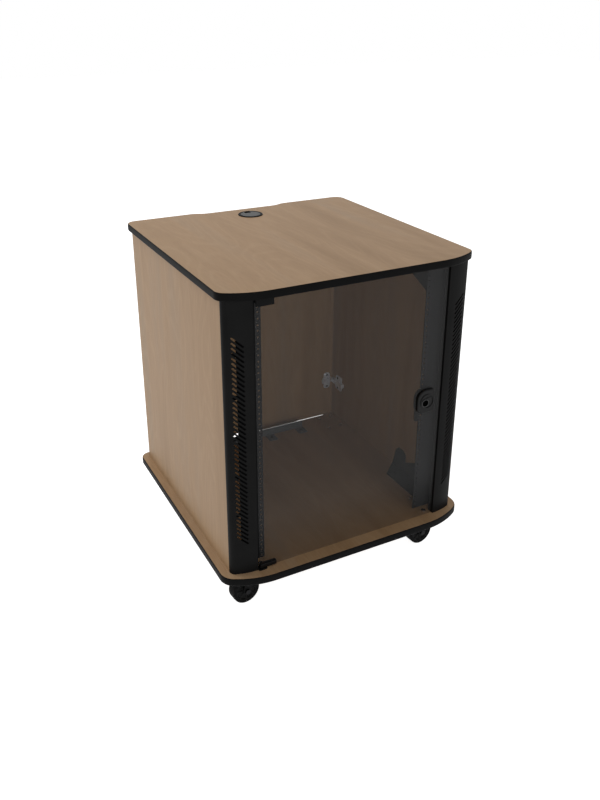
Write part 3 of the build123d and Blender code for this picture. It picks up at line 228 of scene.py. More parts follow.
def fine_finish(name, colour, variation, grain, depth, roughness, specular, metallic=0.0):
    """One colour times 1 - variation to 1 + variation, a relief with grain per metre, and a roughness range."""
    material, tree, shader = new_material(name)
    slow = stretched_noise(tree, 18.0, 18.0, "X", 2.0)
    lighter = tuple(min(1.0, c * (1 + variation)) for c in colour)
    darker = tuple(c * (1 - variation) for c in colour)
    tree.links.new(ramp(tree, slow, (0.3, darker), (0.7, lighter)), shader.inputs["Base Color"])
    fine = stretched_noise(tree, grain, grain, "X", 2.0)
    wearing(tree, shader, fine, *roughness)
    relief(tree, shader, fine, 0.3, depth)
    shader.inputs["Specular IOR Level"].default_value = specular
    shader.inputs["Metallic"].default_value = metallic
    return material


# name, colour, variation, grain per metre, depth of the relief, roughness from and to, specular level
moulding_black = fine_finish("black edge moulding", (0.004, 0.004, 0.004), 0.15, 900.0, 0.00003, (0.48, 0.60), 0.042)
powder_black = fine_finish("black powder coat", (0.007, 0.007, 0.007), 0.15, 1400.0, 0.00003, (0.42, 0.56), 0.05)
lock_black = fine_finish("black lock housing", (0.005, 0.005, 0.005), 0.10, 700.0, 0.00003, (0.30, 0.40), 0.14)
# painted shade: the barrel is blacker and duller than the case, standing for the shade deep in the key well
keyhole_painted_shade = fine_finish("black key well with painted shade", (0.002, 0.002, 0.002), 0.10, 700.0, 0.00003, (0.55, 0.70), 0.02)
tyre_rubber = fine_finish("caster tread rubber", (0.005, 0.005, 0.005), 0.20, 500.0, 0.00005, (0.62, 0.78), 0.06)
core_plastic = fine_finish("caster core plastic", (0.006, 0.006, 0.006), 0.08, 600.0, 0.00003, (0.40, 0.52), 0.07)
# painted highlight: the ring's lighter grey stands for the light on its edge
ring_painted_highlight = fine_finish("black ring with painted highlight", (0.045, 0.045, 0.045), 0.10, 700.0, 0.00002, (0.30, 0.40), 0.30)
bar_satin = fine_finish("satin grey cable bar", (0.120, 0.125, 0.130), 0.05, 900.0, 0.00001, (0.60, 0.70), 0.0)
bracket_satin = fine_finish("satin black bracket", (0.030, 0.031, 0.032), 0.05, 900.0, 0.00001, (0.60, 0.70), 0.0)
grommet_black = fine_finish("grommet plastic", (0.003, 0.003, 0.003), 0.10, 1200.0, 0.00003, (0.45, 0.55), 0.04)
cap_grey = fine_finish("grommet cap plastic", (0.055, 0.058, 0.057), 0.06, 1200.0, 0.00003, (0.42, 0.54), 0.25)
print("black finishes ready")

# %% [markdown]
# ## Rack rails
# The rails are black, but in the photograph the face that looks forward is greyer. That is a sheen from the light in
# front, and here it is painted into the colour of the forward faces. A material can tell the faces apart by their
# direction, which needs no extra geometry. Both painted tones are fitted to the photograph: the left rail, seen
# through the slots of the pillar, is near black, and the right one is grey. The two rails are a shaded and a lit
# copy of one paint.

# %% Rail paint with a painted sheen


def rail_with_painted_sheen(name, tone):
    """Satin paint, black on the flanges; a painted sheen of the given tone takes over as the normal's Y goes from
    -0.2 to -0.8.
    """
    material, tree, shader = new_material(name)
    slow = stretched_noise(tree, 18.0, 18.0, "X", 2.0)
    face = add_node(tree, "NewGeometry")
    parts = add_node(tree, "SeparateXYZ")
    tree.links.new(face.outputs["Normal"], parts.inputs[0])
    front = add_node(tree, "MapRange", From_Min=-0.2, From_Max=-0.8)
    tree.links.new(parts.outputs["Y"], front.inputs["Value"])
    flange = ramp(tree, slow, (0.3, (0.004, 0.004, 0.004)), (0.7, (0.006, 0.006, 0.006)))
    # painted sheen: faces that look forward are lighter, as light from the front would make them
    painted_sheen = ramp(tree, slow, (0.3, (tone, tone, tone * 1.06)), (0.7, (tone * 1.1, tone * 1.1, tone * 1.16)))
    tree.links.new(blend_colours(tree, flange, painted_sheen, front.outputs["Result"]), shader.inputs["Base Color"])
    wearing(tree, shader, slow, 0.60, 0.70)
    shader.inputs["Specular IOR Level"].default_value = 0.0
    return material


# the left rail gets a dark painted sheen and the right one a bright one: shaded and lit copies of one paint
rail_satin = {"left": rail_with_painted_sheen("black rail", 0.010), "right": rail_with_painted_sheen("black rail with bright painted sheen", 0.034)}
print("rails:", rail_satin["left"].name, "and", rail_satin["right"].name)

# %% [markdown]
# ## Bare metals
# Chrome on the rear lock and the bolt heads is a nearly smooth metal. The nickel plating on the hinges is only
# partly metal here: a bright bluish white diffuse share is a painted reflection of a bright window, and it keeps the
# hinges bright in the dark cabinet, where there is nothing bright to mirror. Zinc plating on the caster plates and
# nuts is greyer and rougher, with a cloudy tone from the plating bath, and the axles are blackened.

# %% Metal finishes
chrome = fine_finish("chrome", (0.66, 0.66, 0.67), 0.03, 260.0, 0.00005, (0.10, 0.20), 0.50, metallic=1.0)
dark_steel = fine_finish(
    "blackened steel", (0.012, 0.012, 0.013), 0.20, 480.0, 0.0001, (0.34, 0.50), 0.40, metallic=1.0
)
zinc = fine_finish("zinc plate", (0.40, 0.41, 0.43), 0.18, 480.0, 0.0001, (0.28, 0.44), 0.50, metallic=1.0)
# painted reflection: the bluish white diffuse share stands for a bright window mirrored in the plating
nickel = fine_finish("nickel plate with painted reflection", (0.80, 0.83, 0.90), 0.05, 300.0, 0.00005, (0.22, 0.34), 0.70, metallic=0.35)
print("metals:", chrome.name, zinc.name, dark_steel.name, nickel.name)

# %% [markdown]
# ## Smoked glass
# Real smoked glass takes away light all through its thickness. A thin pane can be shown more simply, with a dark
# surface that is partly see-through: light passes straight on, and no caustic noise appears. The view crosses two
# faces of the pane, so the share that passes is (1 - alpha) squared, a little over one half. It is fitted to what
# the photograph shows behind the door, with the inside lit as if the pane were clear, so the pane casts no shadow.
# The photograph also shows an even grey veil on the pane, the blurred image of the white studio. A mirror
# reflection would bring it too, but only as grain on the dark rails, so the veil is a faint glow here. It fades
# at the bottom, where the pane would mirror the shaded ledge.

# %% Glass material
SMOKE_ALPHA = 0.265
VEIL_GLOW = {"To_Min": 0.004, "To_Max": 0.038}
VEIL_HEIGHTS = {"From_Min": 0.14, "From_Max": 0.26}
smoked_glass, glass_tree, glass_shader = new_material("smoked glass")
haze = stretched_noise(glass_tree, 6.0, 6.0, "X", 1.0)
wearing(glass_tree, glass_shader, haze, 0.02, 0.05)
glass_shader.inputs["Base Color"].default_value = (0.020, 0.020, 0.020, 1.0)
glass_shader.inputs["Specular IOR Level"].default_value = 0.01
glass_shader.inputs["Alpha"].default_value = SMOKE_ALPHA
glass_shader.inputs["Emission Color"].default_value = (1.0, 1.0, 1.0, 1.0)
pane_place = add_node(glass_tree, "TexCoord")
pane_parts = add_node(glass_tree, "SeparateXYZ")
glass_tree.links.new(pane_place.outputs["Object"], pane_parts.inputs[0])
veil = add_node(glass_tree, "MapRange", **VEIL_HEIGHTS, **VEIL_GLOW)
glass_tree.links.new(pane_parts.outputs["Z"], veil.inputs["Value"])
glass_tree.links.new(veil.outputs["Result"], glass_shader.inputs["Emission Strength"])
pane = frame["nodes"]["front_door_glass"]
pane.visible_shadow = False
pane.visible_diffuse = False
print("the glass lets", round((1 - SMOKE_ALPHA) ** 2, 2), "of the view through")

# %% [markdown]
# ## Painting the solid model
# A node of the solid model keeps its shape and only changes its material. One table says which finish belongs
# on which nodes, so that nothing is left in the plain colours that it came in with.

# %% Finishes by node
CASTERS = ("front_left", "front_right", "rear_left", "rear_right")
finishes = {
    "left_side_panel": upright_laminate,
    "right_side_panel": upright_laminate,
    "rear_door_panel": upright_laminate,
    "rear_door_edge_band": upright_laminate,
    "top_panel": lengthwise_laminate,
    "base_panel": lengthwise_laminate,
    "top_edge_band": moulding_black,
    "base_edge_band": moulding_black,
    "front_door_glass": smoked_glass,
    "door_lock_case": lock_black,
    "door_lock_plate": lock_black,
    # painted shade of the key well
    "door_lock_barrel": keyhole_painted_shade,
    "grommet_sleeve": grommet_black,
    "grommet_cap": cap_grey,
}
for black_node in (
    "left_front_pillar", "right_front_pillar", "top_angles", "lower_pivot_plate", "upper_pivot_plate",
    "lower_door_clamp", "upper_door_clamp", "door_lock_cam",
):
    finishes[black_node] = powder_black
finishes["cable_bar"] = bar_satin
for side in ("left", "right"):
    finishes[f"{side}_rack_rail"] = rail_satin[side]
    finishes[f"{side}_lower_rail_bracket"] = bracket_satin
    finishes[f"{side}_upper_rail_bracket"] = bracket_satin
for chrome_node in ("caster_bolts", "rear_lock_body", "rear_lock_barrel"):
    finishes[chrome_node] = chrome
for nickel_node in ("lower_hinge_cup", "upper_hinge_cup", "lower_hinge_arm", "upper_hinge_arm"):
    finishes[nickel_node] = nickel
for zinc_node in ("caster_nuts", "base_screws", "rear_lock_cam", "rear_lock_strike"):
    finishes[zinc_node] = zinc
finishes["frame_screws"] = dark_steel
for place in CASTERS:
    finishes[f"{place}_caster_plate"] = zinc
    finishes[f"{place}_caster_fork"] = powder_black
    finishes[f"{place}_caster_axle"] = dark_steel
    finishes[f"{place}_caster_wheel"] = tyre_rubber
for node, material in finishes.items():
    mesh = frame["nodes"][node].data
    mesh.materials.clear()
    mesh.materials.append(material)
print(len(finishes), "nodes painted; left over:", sorted(set(frame["nodes"]) - set(finishes)))

# %% [markdown]
# ## Surfaces from arrays
# The pieces below are worked out as grids of points: one direction of the grid runs along a path, the other
# round a profile. A helper turns such a grid into faces, closes it where it should close, merges the points that
# meet, and turns the faces outwards. It also says which body the piece rides on. Three small functions appear in
# many of the shapes: the angles of a full circle, a power that keeps its sign, which squares up a circle, and a
# soft step from 0 to 1.

# %% Formulas that many shapes share


def full_turn(count):
    """Angles 2 pi k / n, for k from 0 to n - 1."""
    return np.linspace(0, 2 * np.pi, count, endpoint=False)


def signed_power(value, power):
    """sign(v) |v|^p, which turns the cosine and sine of a circle into a rounded square when p is small."""
    return np.sign(value) * np.abs(value) ** power


def soft_step(value, width):
    """1 / (1 + exp(-v / w)): 0 well below zero, 1 well above it."""
    return 1 / (1 + np.exp(-value / width))


print("a quarter turn squared up:", signed_power(np.cos(full_turn(16)[:5]), 0.2).round(3))

# %% Grid to mesh


def surface(name, grid, material, body, closed=(False, False)):
    """Faces between neighbours of one grid of points or several; a closed direction joins its end to its start."""
    rows, columns = grid.shape[-3:-1]
    index = np.arange(grid.size // 3).reshape(-1, rows, columns)
    start = index if closed[0] else index[:, :-1]
    down = np.roll(index, -1, 1) if closed[0] else index[:, 1:]
    quads = np.stack([start, down, np.roll(down, -1, 2), np.roll(start, -1, 2)], axis=-1)
    if not closed[1]:
        quads = quads[:, :, :-1]
    mesh = bpy.data.meshes.new(name)
    mesh.from_pydata(grid.reshape(-1, 3).tolist(), [], quads.reshape(-1, 4).tolist())
    shape = bmesh.new()
    shape.from_mesh(mesh)
    bmesh.ops.remove_doubles(shape, verts=shape.verts, dist=1e-6)
    bmesh.ops.recalc_face_normals(shape, faces=shape.faces)
    shape.to_mesh(mesh)
    shape.free()
    mesh.polygons.foreach_set("use_smooth", np.full(len(mesh.polygons), True))
    mesh.materials.append(material)
    piece = bpy.data.objects.new(name, mesh)
    bpy.context.scene.collection.objects.link(piece)
    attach(piece, body)
    print(name, len(mesh.vertices), "points", len(mesh.polygons), "faces")
    return piece


print("surface makes a piece from a grid")

# %% [markdown]
# ## Outlines
# The mouldings and the door's lipping are profiles carried round an outline. The outline of a moulding comes from
# the solid strip itself: the rim of its upper face, followed from point to point. Array code follows it without a
# loop over points, by doubling how far each point looks ahead until all of them see the starting point.

# %% Rim, spacing and normals


def outer_rim(node):
    """Outer edge of the upper face, in order round the board.

    An edge of the upper triangles is on the rim when no neighbour has it the other way round. Each rim point then
    knows the next one. The number of steps from a point to the start grows by doubling: steps + steps of next.
    """
    mesh = frame["nodes"][node].data
    places = np.empty(len(mesh.vertices) * 3)
    mesh.vertices.foreach_get("co", places)
    faces = np.empty(len(mesh.polygons) * 3, int)
    mesh.polygons.foreach_get("vertices", faces)
    points, index = np.unique(places.reshape(-1, 3).round(6), axis=0, return_inverse=True)
    faces = index.reshape(-1)[faces].reshape(-1, 3)
    upper = faces[(points[faces][:, :, 2] > points[:, 2].max() - 1e-5).all(axis=1)]
    edges = np.concatenate([upper[:, [0, 1]], upper[:, [1, 2]], upper[:, [2, 0]]])
    count = len(points)
    rim = edges[~np.isin(edges[:, 0] * count + edges[:, 1], edges[:, 1] * count + edges[:, 0])]
    start = rim[np.linalg.norm(points[rim[:, 0], :2], axis=1).argmax(), 0]
    ahead = np.arange(count)
    ahead[rim[:, 0]] = rim[:, 1]
    ahead[start] = start
    steps = np.zeros(count, int)
    steps[rim[:, 0]] = 1
    steps[start] = 0
    for _ in range(int(np.ceil(np.log2(count))) + 1):
        steps = steps + steps[ahead]
        ahead = ahead[ahead]
    seen = np.flatnonzero((ahead == start) & (steps > 0))
    return np.vstack([points[seen[np.argsort(-steps[seen])], :2], points[start, :2]])


def evenly(outline, step):
    """The closed outline again, with points at equal distances along it."""
    closed = np.vstack([outline, outline[:1]])
    distance = np.concatenate([[0.0], np.cumsum(np.linalg.norm(np.diff(closed, axis=0), axis=1))])
    count = int(distance[-1] / step)
    places = np.linspace(0.0, distance[-1], count, endpoint=False)
    return np.stack([np.interp(places, distance, closed[:, k]) for k in (0, 1)], axis=1)


def outward_normals(outline):
    """Unit vectors (dy, -dx) of the direction between the neighbours, for an outline that runs anticlockwise."""
    along = np.roll(outline, -1, 0) - np.roll(outline, 1, 0)
    along /= np.linalg.norm(along, axis=1, keepdims=True)
    return np.stack([along[:, 1], -along[:, 0]], axis=1)


print("top rim has", len(outer_rim("top_edge_band")), "points, base rim", len(outer_rim("base_edge_band")))

# %% [markdown]
# ## Crowned edge mouldings
# The boards are closed with a T-moulding: a plastic strip with a slightly crowned face and rounded lips, pressed
# into a groove round the edge. A bevel on the solid's square strip would round its corners but not crown it.
# Carrying one profile round the outline gives both.

# %% Mouldings
CROWN = 0.0006
LIP = 0.0022
MOULDING_STEP = 0.0016


def crowned_profile(height):
    """Offset outwards and height: a flattened oval, x = -lip + (lip + crown) (1 - |2 v / h|^4)^(1/4)."""
    turn = np.linspace(-np.pi / 2, np.pi / 2, 11)
    level = signed_power(np.sin(turn), 0.5)
    reach = np.abs(np.cos(turn)) ** 0.5
    return np.stack([-LIP + (LIP + CROWN) * reach, level * height / 2], axis=1)


def moulding(name, node):
    """The crowned profile carried round the outline, turned to the outline's normal at each point."""
    outline = evenly(outer_rim(node), MOULDING_STEP)
    outward = outward_normals(outline)
    profile = crowned_profile(size(node).z)
    grid = np.empty((len(outline), len(profile), 3))
    grid[:, :, :2] = outline[:, None] + outward[:, None] * profile[None, :, :1]
    grid[:, :, 2] = centre(node).z + profile[None, :, 1]
    piece = surface(name, grid, moulding_black, "cabinet", closed=(True, True))
    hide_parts(node)


moulding("top_moulding", "top_edge_band")
moulding("base_moulding", "base_edge_band")

# %% [markdown]
# ## Lipping of the rear door
# In the photograph the rear door comes down almost to the base, with a thin line of light below its hinge end. A
# wood lipping round the door, relieved a little at that end, gives the line, and its arrised edges catch light
# beside the hinges. Left of the middle the lipping steps up round a cable notch. The notch is a guess, made to
# explain the bright slots in the front pillar, which look through the cabinet to the floor behind it.

# %% Outline of the door
LIPPING_CORNER = 0.0015
LIPPING_STEP = 0.0015
DOOR_GAP = 0.0010


def rounded_rectangle(low, high, radius):
    """Middle + sign(cos a, sin a) (half size - radius) + radius (cos a, sin a), for angles a round a circle."""
    angle = (np.arange(64) + 0.5) * 2 * np.pi / 64
    across = np.array([np.cos(angle), np.sin(angle)]).T
    middle, half = (low + high) / 2, (high - low) / 2 - radius
    return middle + np.sign(across) * half + radius * across


door_low, door_high = corner_arrays("rear_door_edge_band")
door_low[2] = floor_z + DOOR_GAP
door_outline = evenly(rounded_rectangle(door_low[[0, 2]], door_high[[0, 2]], LIPPING_CORNER), LIPPING_STEP)
print("the door's outline has", len(door_outline), "points")

# %% Door lipping
HINGE_RELIEF = 0.0013
RELIEF_FROM = 0.172
NOTCH_RISE = 0.0100
NOTCH_FROM, NOTCH_TO = -0.125, 0.012
NOTCH_BLUR = 0.0012
LIPPING_DEPTH = 0.0115
LIPPING_CROWN = 0.0008
LIPPING_PROUD = 0.00015
LIPPING_POWER = 0.2
LOWER_EDGE = 0.0005


def door_lipping(outline):
    """A squared-up oval, |cos t|^p and |sin t|^p, carried round the door; soft steps raise notch and relief."""
    x, z = outline.T
    notch = soft_step(x - NOTCH_FROM, NOTCH_BLUR) - soft_step(x - NOTCH_TO, NOTCH_BLUR)
    rise = NOTCH_RISE * notch + HINGE_RELIEF * soft_step(x - RELIEF_FROM, NOTCH_BLUR)
    outward = outward_normals(outline)
    raised = np.stack([x, z + rise * (z < door_low[2] + LOWER_EDGE)], axis=1)
    turn = np.linspace(-np.pi / 2, np.pi / 2, 25)
    half_thickness = (door_high - door_low)[1] / 2 + LIPPING_PROUD
    level = (door_low + door_high)[1] / 2 + signed_power(np.sin(turn), LIPPING_POWER) * half_thickness
    reach = LIPPING_DEPTH * (np.abs(np.cos(turn)) ** LIPPING_POWER - 1) + LIPPING_CROWN
    flat = raised[:, None] + outward[:, None] * reach[None, :, None]
    return np.stack([flat[..., 0], np.broadcast_to(level, flat.shape[:2]), flat[..., 1]], axis=-1)


lipping = surface(
    "rear_door_lipping", door_lipping(door_outline), upright_laminate, "rear_door", closed=(True, True)
)
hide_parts("rear_door_edge_band")

# %% [markdown]
# ## Lower clamp of the glass door
# The lower clamp in the photograph is a low block with soft edges, hardly higher than a finger is thick. A
# superquadric gives such a block: a sphere whose sines and cosines are raised to a small power, so that it fills
# its box.

# %% Lower clamp
CLAMP_HEIGHT = 0.0105
CLAMP_POWER = 0.16


def soft_block(low, high, power):
    """Middle plus half sizes times the signed powers of cos u cos v, cos u sin v and sin u."""
    u = np.linspace(-np.pi / 2, np.pi / 2, 33)[:, None]
    v = full_turn(64)[None, :]
    ring = signed_power(np.cos(u), power)
    x, y = ring * signed_power(np.cos(v), power), ring * signed_power(np.sin(v), power)
    ball = np.stack([x, y, signed_power(np.sin(u), power) + 0 * v], axis=-1)
    return (low + high) / 2 + ball * (high - low) / 2


clamp_low, clamp_high = corner_arrays("lower_door_clamp")
clamp_high[2] = clamp_low[2] + CLAMP_HEIGHT
clamp_grid = soft_block(clamp_low, clamp_high, CLAMP_POWER)
clamp = surface("soft_lower_clamp", clamp_grid, lock_black, "front_door", closed=(False, True))
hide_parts("lower_door_clamp")

# %% [markdown]
# ## Ring round the key
# The key well of the front lock has a thin raised ring. The light that its edge catches is painted on as a grey a
# little lighter than the case. A torus would do, but only its front half shows, so it is a half-round bead turned
# about the axis of the lock's joint.

# %% Key ring
RING_RADIUS = 0.0098
RING_BEAD = 0.0010


def key_ring(key):
    """For angle a and bead angle t: radius R + b cos t round the key, and b sin t in front of it."""
    angle = full_turn(72)[:, None]
    bead = np.linspace(0, np.pi, 11)[None, :]
    radius = RING_RADIUS + RING_BEAD * np.cos(bead)
    back = -RING_BEAD * np.sin(bead) + 0 * angle
    return key + np.stack([radius * np.cos(angle), back, radius * np.sin(angle)], axis=-1)


key_place = np.array(joints["front_lock_turn"]["pos_m"], float)
key_place[1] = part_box("door_lock_case")[0].y
# the bead's grey is a painted highlight
surface("lock_key_ring", key_ring(key_place), ring_painted_highlight, "front_door", closed=(True, False))

# %% [markdown]
# ## Turning about an axle
# A wheel is a profile turned about its axle. The axle comes from the roll joint of the frame, so the pieces turn
# truly with their bodies at every pose.

# %% Points round an axle
EAST, NORTH, UP = np.eye(3)


def axle_line(place):
    """Middle of the wheel and the axle's direction, from the roll joint."""
    joint = joints[f"{place}_roll"]
    return np.array(joint["pos_m"], float), np.array(joint["axis"], float)


def turned(radius, offset, place, segments):
    """Middle + r (cos a forward + sin a up) + offset along the axle, for every angle a round the axle."""
    middle, axle = axle_line(place)
    angle = full_turn(segments)[:, None, None]
    spoke = np.cos(angle) * np.cross(UP, axle) + np.sin(angle) * UP
    return middle + radius[..., None] * spoke + offset[..., None] * axle


print("middle of the front left wheel", axle_line("front_left")[0].round(4))

# %% [markdown]
# ## Treads
# The rubber tread has rounded shoulders. A fillet on the solid wheel would give them too, but one closed profile
# turned about the axle also gives the slight crown between them.

# %% Treads
TREAD_INNER = 0.029
TREAD_HALF_WIDTH = 0.0145
TREAD_POWER = 0.4
TREAD_SEGMENTS = 96


def tread(place):
    """A flattened oval turned about the axle: half depth times |cos t|^p and half width times |sin t|^p."""
    turn = full_turn(28)
    half_depth = (size(f"{place}_caster_wheel").z / 2 - TREAD_INNER) / 2
    radius = TREAD_INNER + half_depth * (1 + signed_power(np.cos(turn), TREAD_POWER))
    offset = TREAD_HALF_WIDTH * signed_power(np.sin(turn), TREAD_POWER)
    grid = turned(radius, offset, place, TREAD_SEGMENTS)
    piece = surface(f"{place}_tread", grid, tyre_rubber, f"{place}_wheel", closed=(True, True))
    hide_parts(f"{place}_caster_wheel")


for place in CASTERS:
    tread(place)

# %% [markdown]
# ## Wheel cores
# Inside the tread is a plastic core: a thin web with ribs between its hub and its rim. The core could be cut from
# solids, but a width that depends on radius and angle gives the web and its ribs in one surface. Nothing of the
# core is clear in the photograph, so the ribs are a guess at usual ones.

# %% Cores
CORE_BORE = 0.0042
CORE_OUTER = 0.0293
HUB_RADIUS, HUB_HALF_WIDTH = 0.0095, 0.0153
RIM_RADIUS, RIM_HALF_WIDTH = 0.0268, 0.0138
WEB_HALF_WIDTH = 0.0085
RIB_COUNT = 8
RIB_RISE = 0.0035
CORE_BLUR = 0.0005
CORE_SEGMENTS = 160


def core(place):
    """Half width over radius r: web + (hub - web) s(hub radius - r) + (rim - web) s(r - rim radius).

    s is the soft step, and a rib adds the eighth power of the cosine of half the rib count times the angle.
    """
    outward = np.linspace(CORE_BORE, CORE_OUTER, 30)
    radius = np.concatenate([outward, outward[::-1]])
    side = np.repeat([1.0, -1.0], 30)
    web = WEB_HALF_WIDTH + RIB_RISE * np.cos(full_turn(CORE_SEGMENTS)[:, None] * RIB_COUNT / 2) ** 8
    hub = (HUB_HALF_WIDTH - web) * soft_step(HUB_RADIUS - radius, CORE_BLUR)
    rim = (RIM_HALF_WIDTH - web) * soft_step(radius - RIM_RADIUS, CORE_BLUR)
    grid = turned(radius, side * (web + hub + rim), place, CORE_SEGMENTS)
    surface(f"{place}_core", grid, core_plastic, f"{place}_wheel", closed=(True, True))


for place in CASTERS:
    core(place)

# %% [markdown]
# ## Plates and screws of the hinges
# Each hinge of the rear door shows two nickel-plated stampings: a face plate with the cup on the door, and a
# cranked arm on a mounting plate on the side panel. Both are crowned, and their screws have cross recesses that
# read as dark marks. A crowned plate is a flattened oval that swells towards its middle, and a screw head is a
# dome with two soft trenches across it.

# %% Crowned plates and screw heads
PLATE_POWER = 0.45
SCREW_RADIUS, SCREW_RISE = 0.0042, 0.0022
CROSS_WIDTH, CROSS_REACH, CROSS_DEPTH = 0.13, 0.68, 0.75


def crowned_plate(half_width, half_height, thickness):
    """A rounded rectangle with a crown: from the rim, s = 1, inwards, rise = thickness (1 - s^4)^(1/4)."""
    turn = full_turn(48)[:, None]
    share = np.linspace(1.0, 0.0, 12)[None, :]
    x = half_width * signed_power(np.cos(turn), PLATE_POWER) * share
    z = half_height * signed_power(np.sin(turn), PLATE_POWER) * share
    return np.stack([x, z, thickness * (1 - share**4) ** 0.25 + 0 * turn], axis=-1)


def screw_head():
    """A dome, rise = height (1 - s^2)^0.5, less a trench where |x| or |z| is small."""
    angle = full_turn(40)[:, None]
    share = np.linspace(1.0, 0.0, 14)[None, :]
    x = SCREW_RADIUS * share * np.cos(angle)
    z = SCREW_RADIUS * share * np.sin(angle)
    narrow = np.minimum(np.abs(x), np.abs(z)) / (CROSS_WIDTH * SCREW_RADIUS)
    trench = np.exp(-(narrow**4)) * np.exp(-((share / CROSS_REACH) ** 8))
    return np.stack([x, z, SCREW_RISE * (np.sqrt(1 - share**2) - CROSS_DEPTH * trench)], axis=-1)


print("a screw head has", screw_head().size // 3, "points")

# %% [markdown]
# ## Hinges of the rear door
# Plate and screws are worked out flat, and three axes stand them up: across, upwards and out of the surface that
# they lie on. The face plate lies on the front of the cup and rides on the door, and the wing plate lies on the
# side panel and stays with the cabinet.

# %% Hinges
FACE_AXES = np.array([EAST, UP, -NORTH])
WING_AXES = np.array([NORTH, UP, -EAST])
FACE_PLATE = {"half_width": 0.0125, "half_height": 0.0275, "thickness": 0.0022}
WING_PLATE = {"half_width": 0.0160, "half_height": 0.0255, "thickness": 0.0030}
FACE_SCREWS = {"seat": 0.0012, "reach": 0.0205}
WING_SCREWS = {"seat": 0.0022, "reach": 0.0175}
WING_INSET = np.array([-0.0015, 0.033])


def hinge_part(level, kind, middle, axes, plate, screws, body):
    """Middle + flat form times axes, for a plate and for two screws seated on it, one above the other."""
    grid = middle + crowned_plate(**plate) @ axes
    surface(f"{level}_hinge_{kind}", grid, nickel, body, closed=(True, False))
    heads = middle + screws["seat"] * axes[2] + np.outer([screws["reach"], -screws["reach"]], axes[1])
    grid = heads[:, None, None, :] + screw_head() @ axes
    surface(f"{level}_{kind}_screws", grid, dark_steel, body, closed=(True, False))


for level in ("lower", "upper"):
    cup_low, cup_high = corner_arrays(f"{level}_hinge_cup")
    arm_low, arm_high = corner_arrays(f"{level}_hinge_arm")
    cup_front = (cup_low + cup_high) / 2
    cup_front[1] = cup_low[1]
    hinge_part(level, "face", cup_front, FACE_AXES, FACE_PLATE, FACE_SCREWS, "rear_door")
    wing_middle = (arm_low + arm_high) / 2
    wing_middle[:2] = np.array([arm_high[0], arm_low[1]]) + WING_INSET
    hinge_part(level, "wing", wing_middle, WING_AXES, WING_PLATE, WING_SCREWS, "cabinet")

# %% [markdown]
# ## Crowns of the caster bolts
# A forged hexagon head is not flat: its corners are turned down to a shallow dome, and that dome is what glints on
# the floor of the cabinet. One array holds the crowns of all sixteen bolts.

# %% Bolt crowns
HEAD_APOTHEM = 0.0058
HEAD_TURNED = 1.10 * HEAD_APOTHEM
CROWN_RISE = 0.0013
CROWN_SINK = 0.0001
BOLT_SPACING = np.array([0.044, 0.066, 0.0])


def bolt_crown():
    """Radius a / cos(angle from the nearest flat), cut at the turned circle; height = rise (1 - s^2)^0.5."""
    angle = full_turn(48)[:, None]
    share = np.linspace(1.0, 0.0, 10)[None, :]
    from_flat = np.mod(angle, np.pi / 3) - np.pi / 6
    radius = np.minimum(HEAD_APOTHEM / np.cos(from_flat), HEAD_TURNED) * share
    rise = CROWN_RISE * np.sqrt(1 - share**2) + 0 * angle
    return np.stack([radius * np.cos(angle), radius * np.sin(angle), rise], axis=-1)


plate_middles = np.array([centre(f"{place}_caster_plate") for place in CASTERS])
plate_middles[:, 2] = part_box("caster_bolts")[1].z - CROWN_SINK
hole_corners = np.array([(i, j, 0) for i in (-1, 1) for j in (-1, 1)]) * BOLT_SPACING / 2
bolt_heads = (plate_middles[:, None] + hole_corners).reshape(-1, 1, 1, 3)
surface("bolt_crowns", bolt_heads + bolt_crown(), chrome, "cabinet", closed=(True, False))

# %% [markdown]
# ## The camera
# The photograph looks down on the cart from its front left. Lines that are parallel on the cart meet far
# outside the picture, which gives the direction of the camera, and the rack rails give its distance. The
# picture was cropped, so the optical axis lies off its middle: the camera's shift stands for that.

# %% Camera
PICTURE_WIDTH = 600
PICTURE_HEIGHT = 800
FOCAL_PIXELS = 821.0
AXIS_PIXEL = (293.6, 336.4)
CAMERA_PLACE = (-0.9392, -1.8169, 1.4335)
CAMERA_YAW = 27.33
CAMERA_PITCH = 22.74
camera_data = bpy.data.cameras.new("camera")
camera = bpy.data.objects.new("camera", camera_data)
bpy.context.scene.collection.objects.link(camera)
camera.location = CAMERA_PLACE
camera.rotation_euler = (math.radians(90 - CAMERA_PITCH), 0.0, math.radians(-CAMERA_YAW))
camera_data.lens = FOCAL_PIXELS * camera_data.sensor_width / PICTURE_HEIGHT
camera_data.shift_x = (PICTURE_WIDTH / 2 - AXIS_PIXEL[0]) / PICTURE_HEIGHT
camera_data.shift_y = (AXIS_PIXEL[1] - PICTURE_HEIGHT / 2) / PICTURE_HEIGHT
bpy.context.scene.camera = camera
print("lens", round(camera_data.lens, 2), "shift", round(camera_data.shift_x, 4), round(camera_data.shift_y, 4))

# %% [markdown]
# ## Studio light
# The photograph has one large soft light above the left rear of the cart: the top and the left side are bright,
# while the front and the ledge below it lie in shade. A weak second light, low in front, reaches in through the
# glass and lifts the blacks.

# %% Lights


def area_light(name, place, target, width, power):
    """Square lamp of a width, at a place, turned to a target."""
    lamp = bpy.data.lights.new(name, "AREA")
    lamp.energy = power
    lamp.size = width
    holder = bpy.data.objects.new(name, lamp)
    bpy.context.scene.collection.objects.link(holder)
    holder.location = place
    holder.rotation_euler = (Vector(target) - Vector(place)).to_track_quat("-Z", "Y").to_euler()
    print(name, power, "W")


area_light("key light", (-1.9, 1.6, 3.2), (0.0, 0.0, 0.5), 1.8, 42.0)
area_light("low front fill", (-0.6, -3.4, 0.5), (0.0, 0.0, 0.5), 2.0, 22.0)

# %% [markdown]
# ## White world
# The world lights the scene dimly, but shows white to the camera, to mirror reflections and through glass. The
# path of a ray tells the two uses apart.

# %% World
AMBIENT = 0.45
world = bpy.data.worlds.new("studio")
bpy.context.scene.world = world
world.use_nodes = True
world_tree = world.node_tree
background = world_tree.nodes["Background"]
background.inputs["Color"].default_value = (1.0, 1.0, 1.0, 1.0)


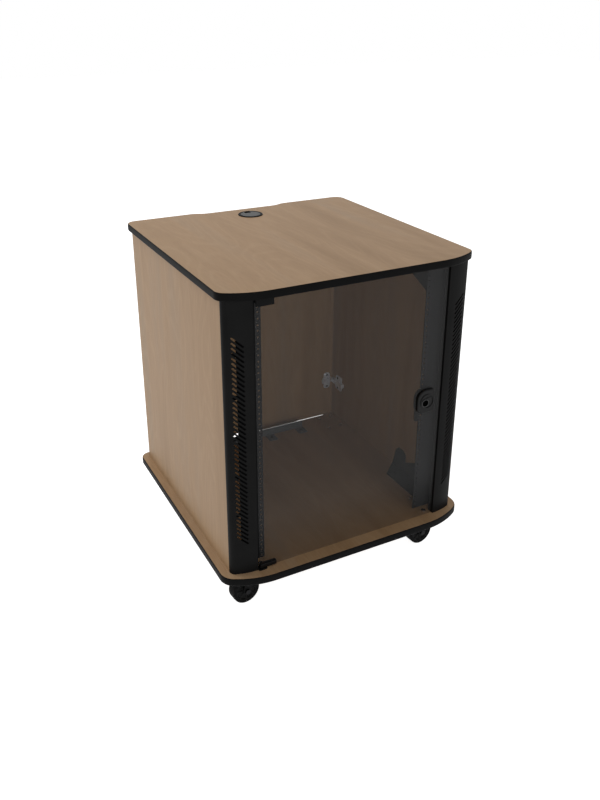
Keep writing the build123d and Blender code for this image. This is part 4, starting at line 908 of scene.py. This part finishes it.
def seen_directly(tree):
    """1 for camera, mirror and see-through rays, 0 for the rays that only carry light."""
    path = add_node(tree, "LightPath")
    first = add_node(tree, "Math", {"operation": "MAXIMUM"})
    second = add_node(tree, "Math", {"operation": "MAXIMUM"})
    tree.links.new(path.outputs["Is Camera Ray"], first.inputs[0])
    tree.links.new(path.outputs["Is Glossy Ray"], first.inputs[1])
    tree.links.new(first.outputs[0], second.inputs[0])
    tree.links.new(path.outputs["Is Transmission Ray"], second.inputs[1])
    return second.outputs[0]


strength = add_node(world_tree, "MapRange", To_Min=AMBIENT, To_Max=1.0)
world_tree.links.new(seen_directly(world_tree), strength.inputs["Value"])
world_tree.links.new(strength.outputs["Result"], background.inputs["Strength"])
bpy.context.scene.view_settings.view_transform = "Standard"
print("ambient", AMBIENT)

# %% [markdown]
# ## The floor
# A plain white floor keeps the soft shadow under the cart. Where nothing shades it, it should be as white as the
# background, so it glows a little for rays that are seen directly.

# %% Floor
FLOOR_REACH = 14.0
FLOOR_GLOW = 0.90
corners = np.array([(-1, -1, 0), (1, -1, 0), (1, 1, 0), (-1, 1, 0)], float) * FLOOR_REACH
floor_mesh = bpy.data.meshes.new("floor")
floor_mesh.from_pydata(corners.tolist(), [], [(0, 1, 2, 3)])
floor = bpy.data.objects.new("floor", floor_mesh)
bpy.context.scene.collection.objects.link(floor)
floor_material, floor_tree, floor_shader = new_material("white floor")
floor_shader.inputs["Base Color"].default_value = (0.8, 0.8, 0.8, 1.0)
floor_shader.inputs["Roughness"].default_value = 0.9
floor_shader.inputs["Specular IOR Level"].default_value = 0.0
floor_shader.inputs["Emission Color"].default_value = (1.0, 1.0, 1.0, 1.0)
glow = add_node(floor_tree, "Math", {"operation": "MULTIPLY"})
glow.inputs[1].default_value = FLOOR_GLOW
floor_tree.links.new(seen_directly(floor_tree), glow.inputs[0])
floor_tree.links.new(glow.outputs[0], floor_shader.inputs["Emission Strength"])
floor_mesh.materials.append(floor_material)
print("floor", 2 * FLOOR_REACH, "m square")
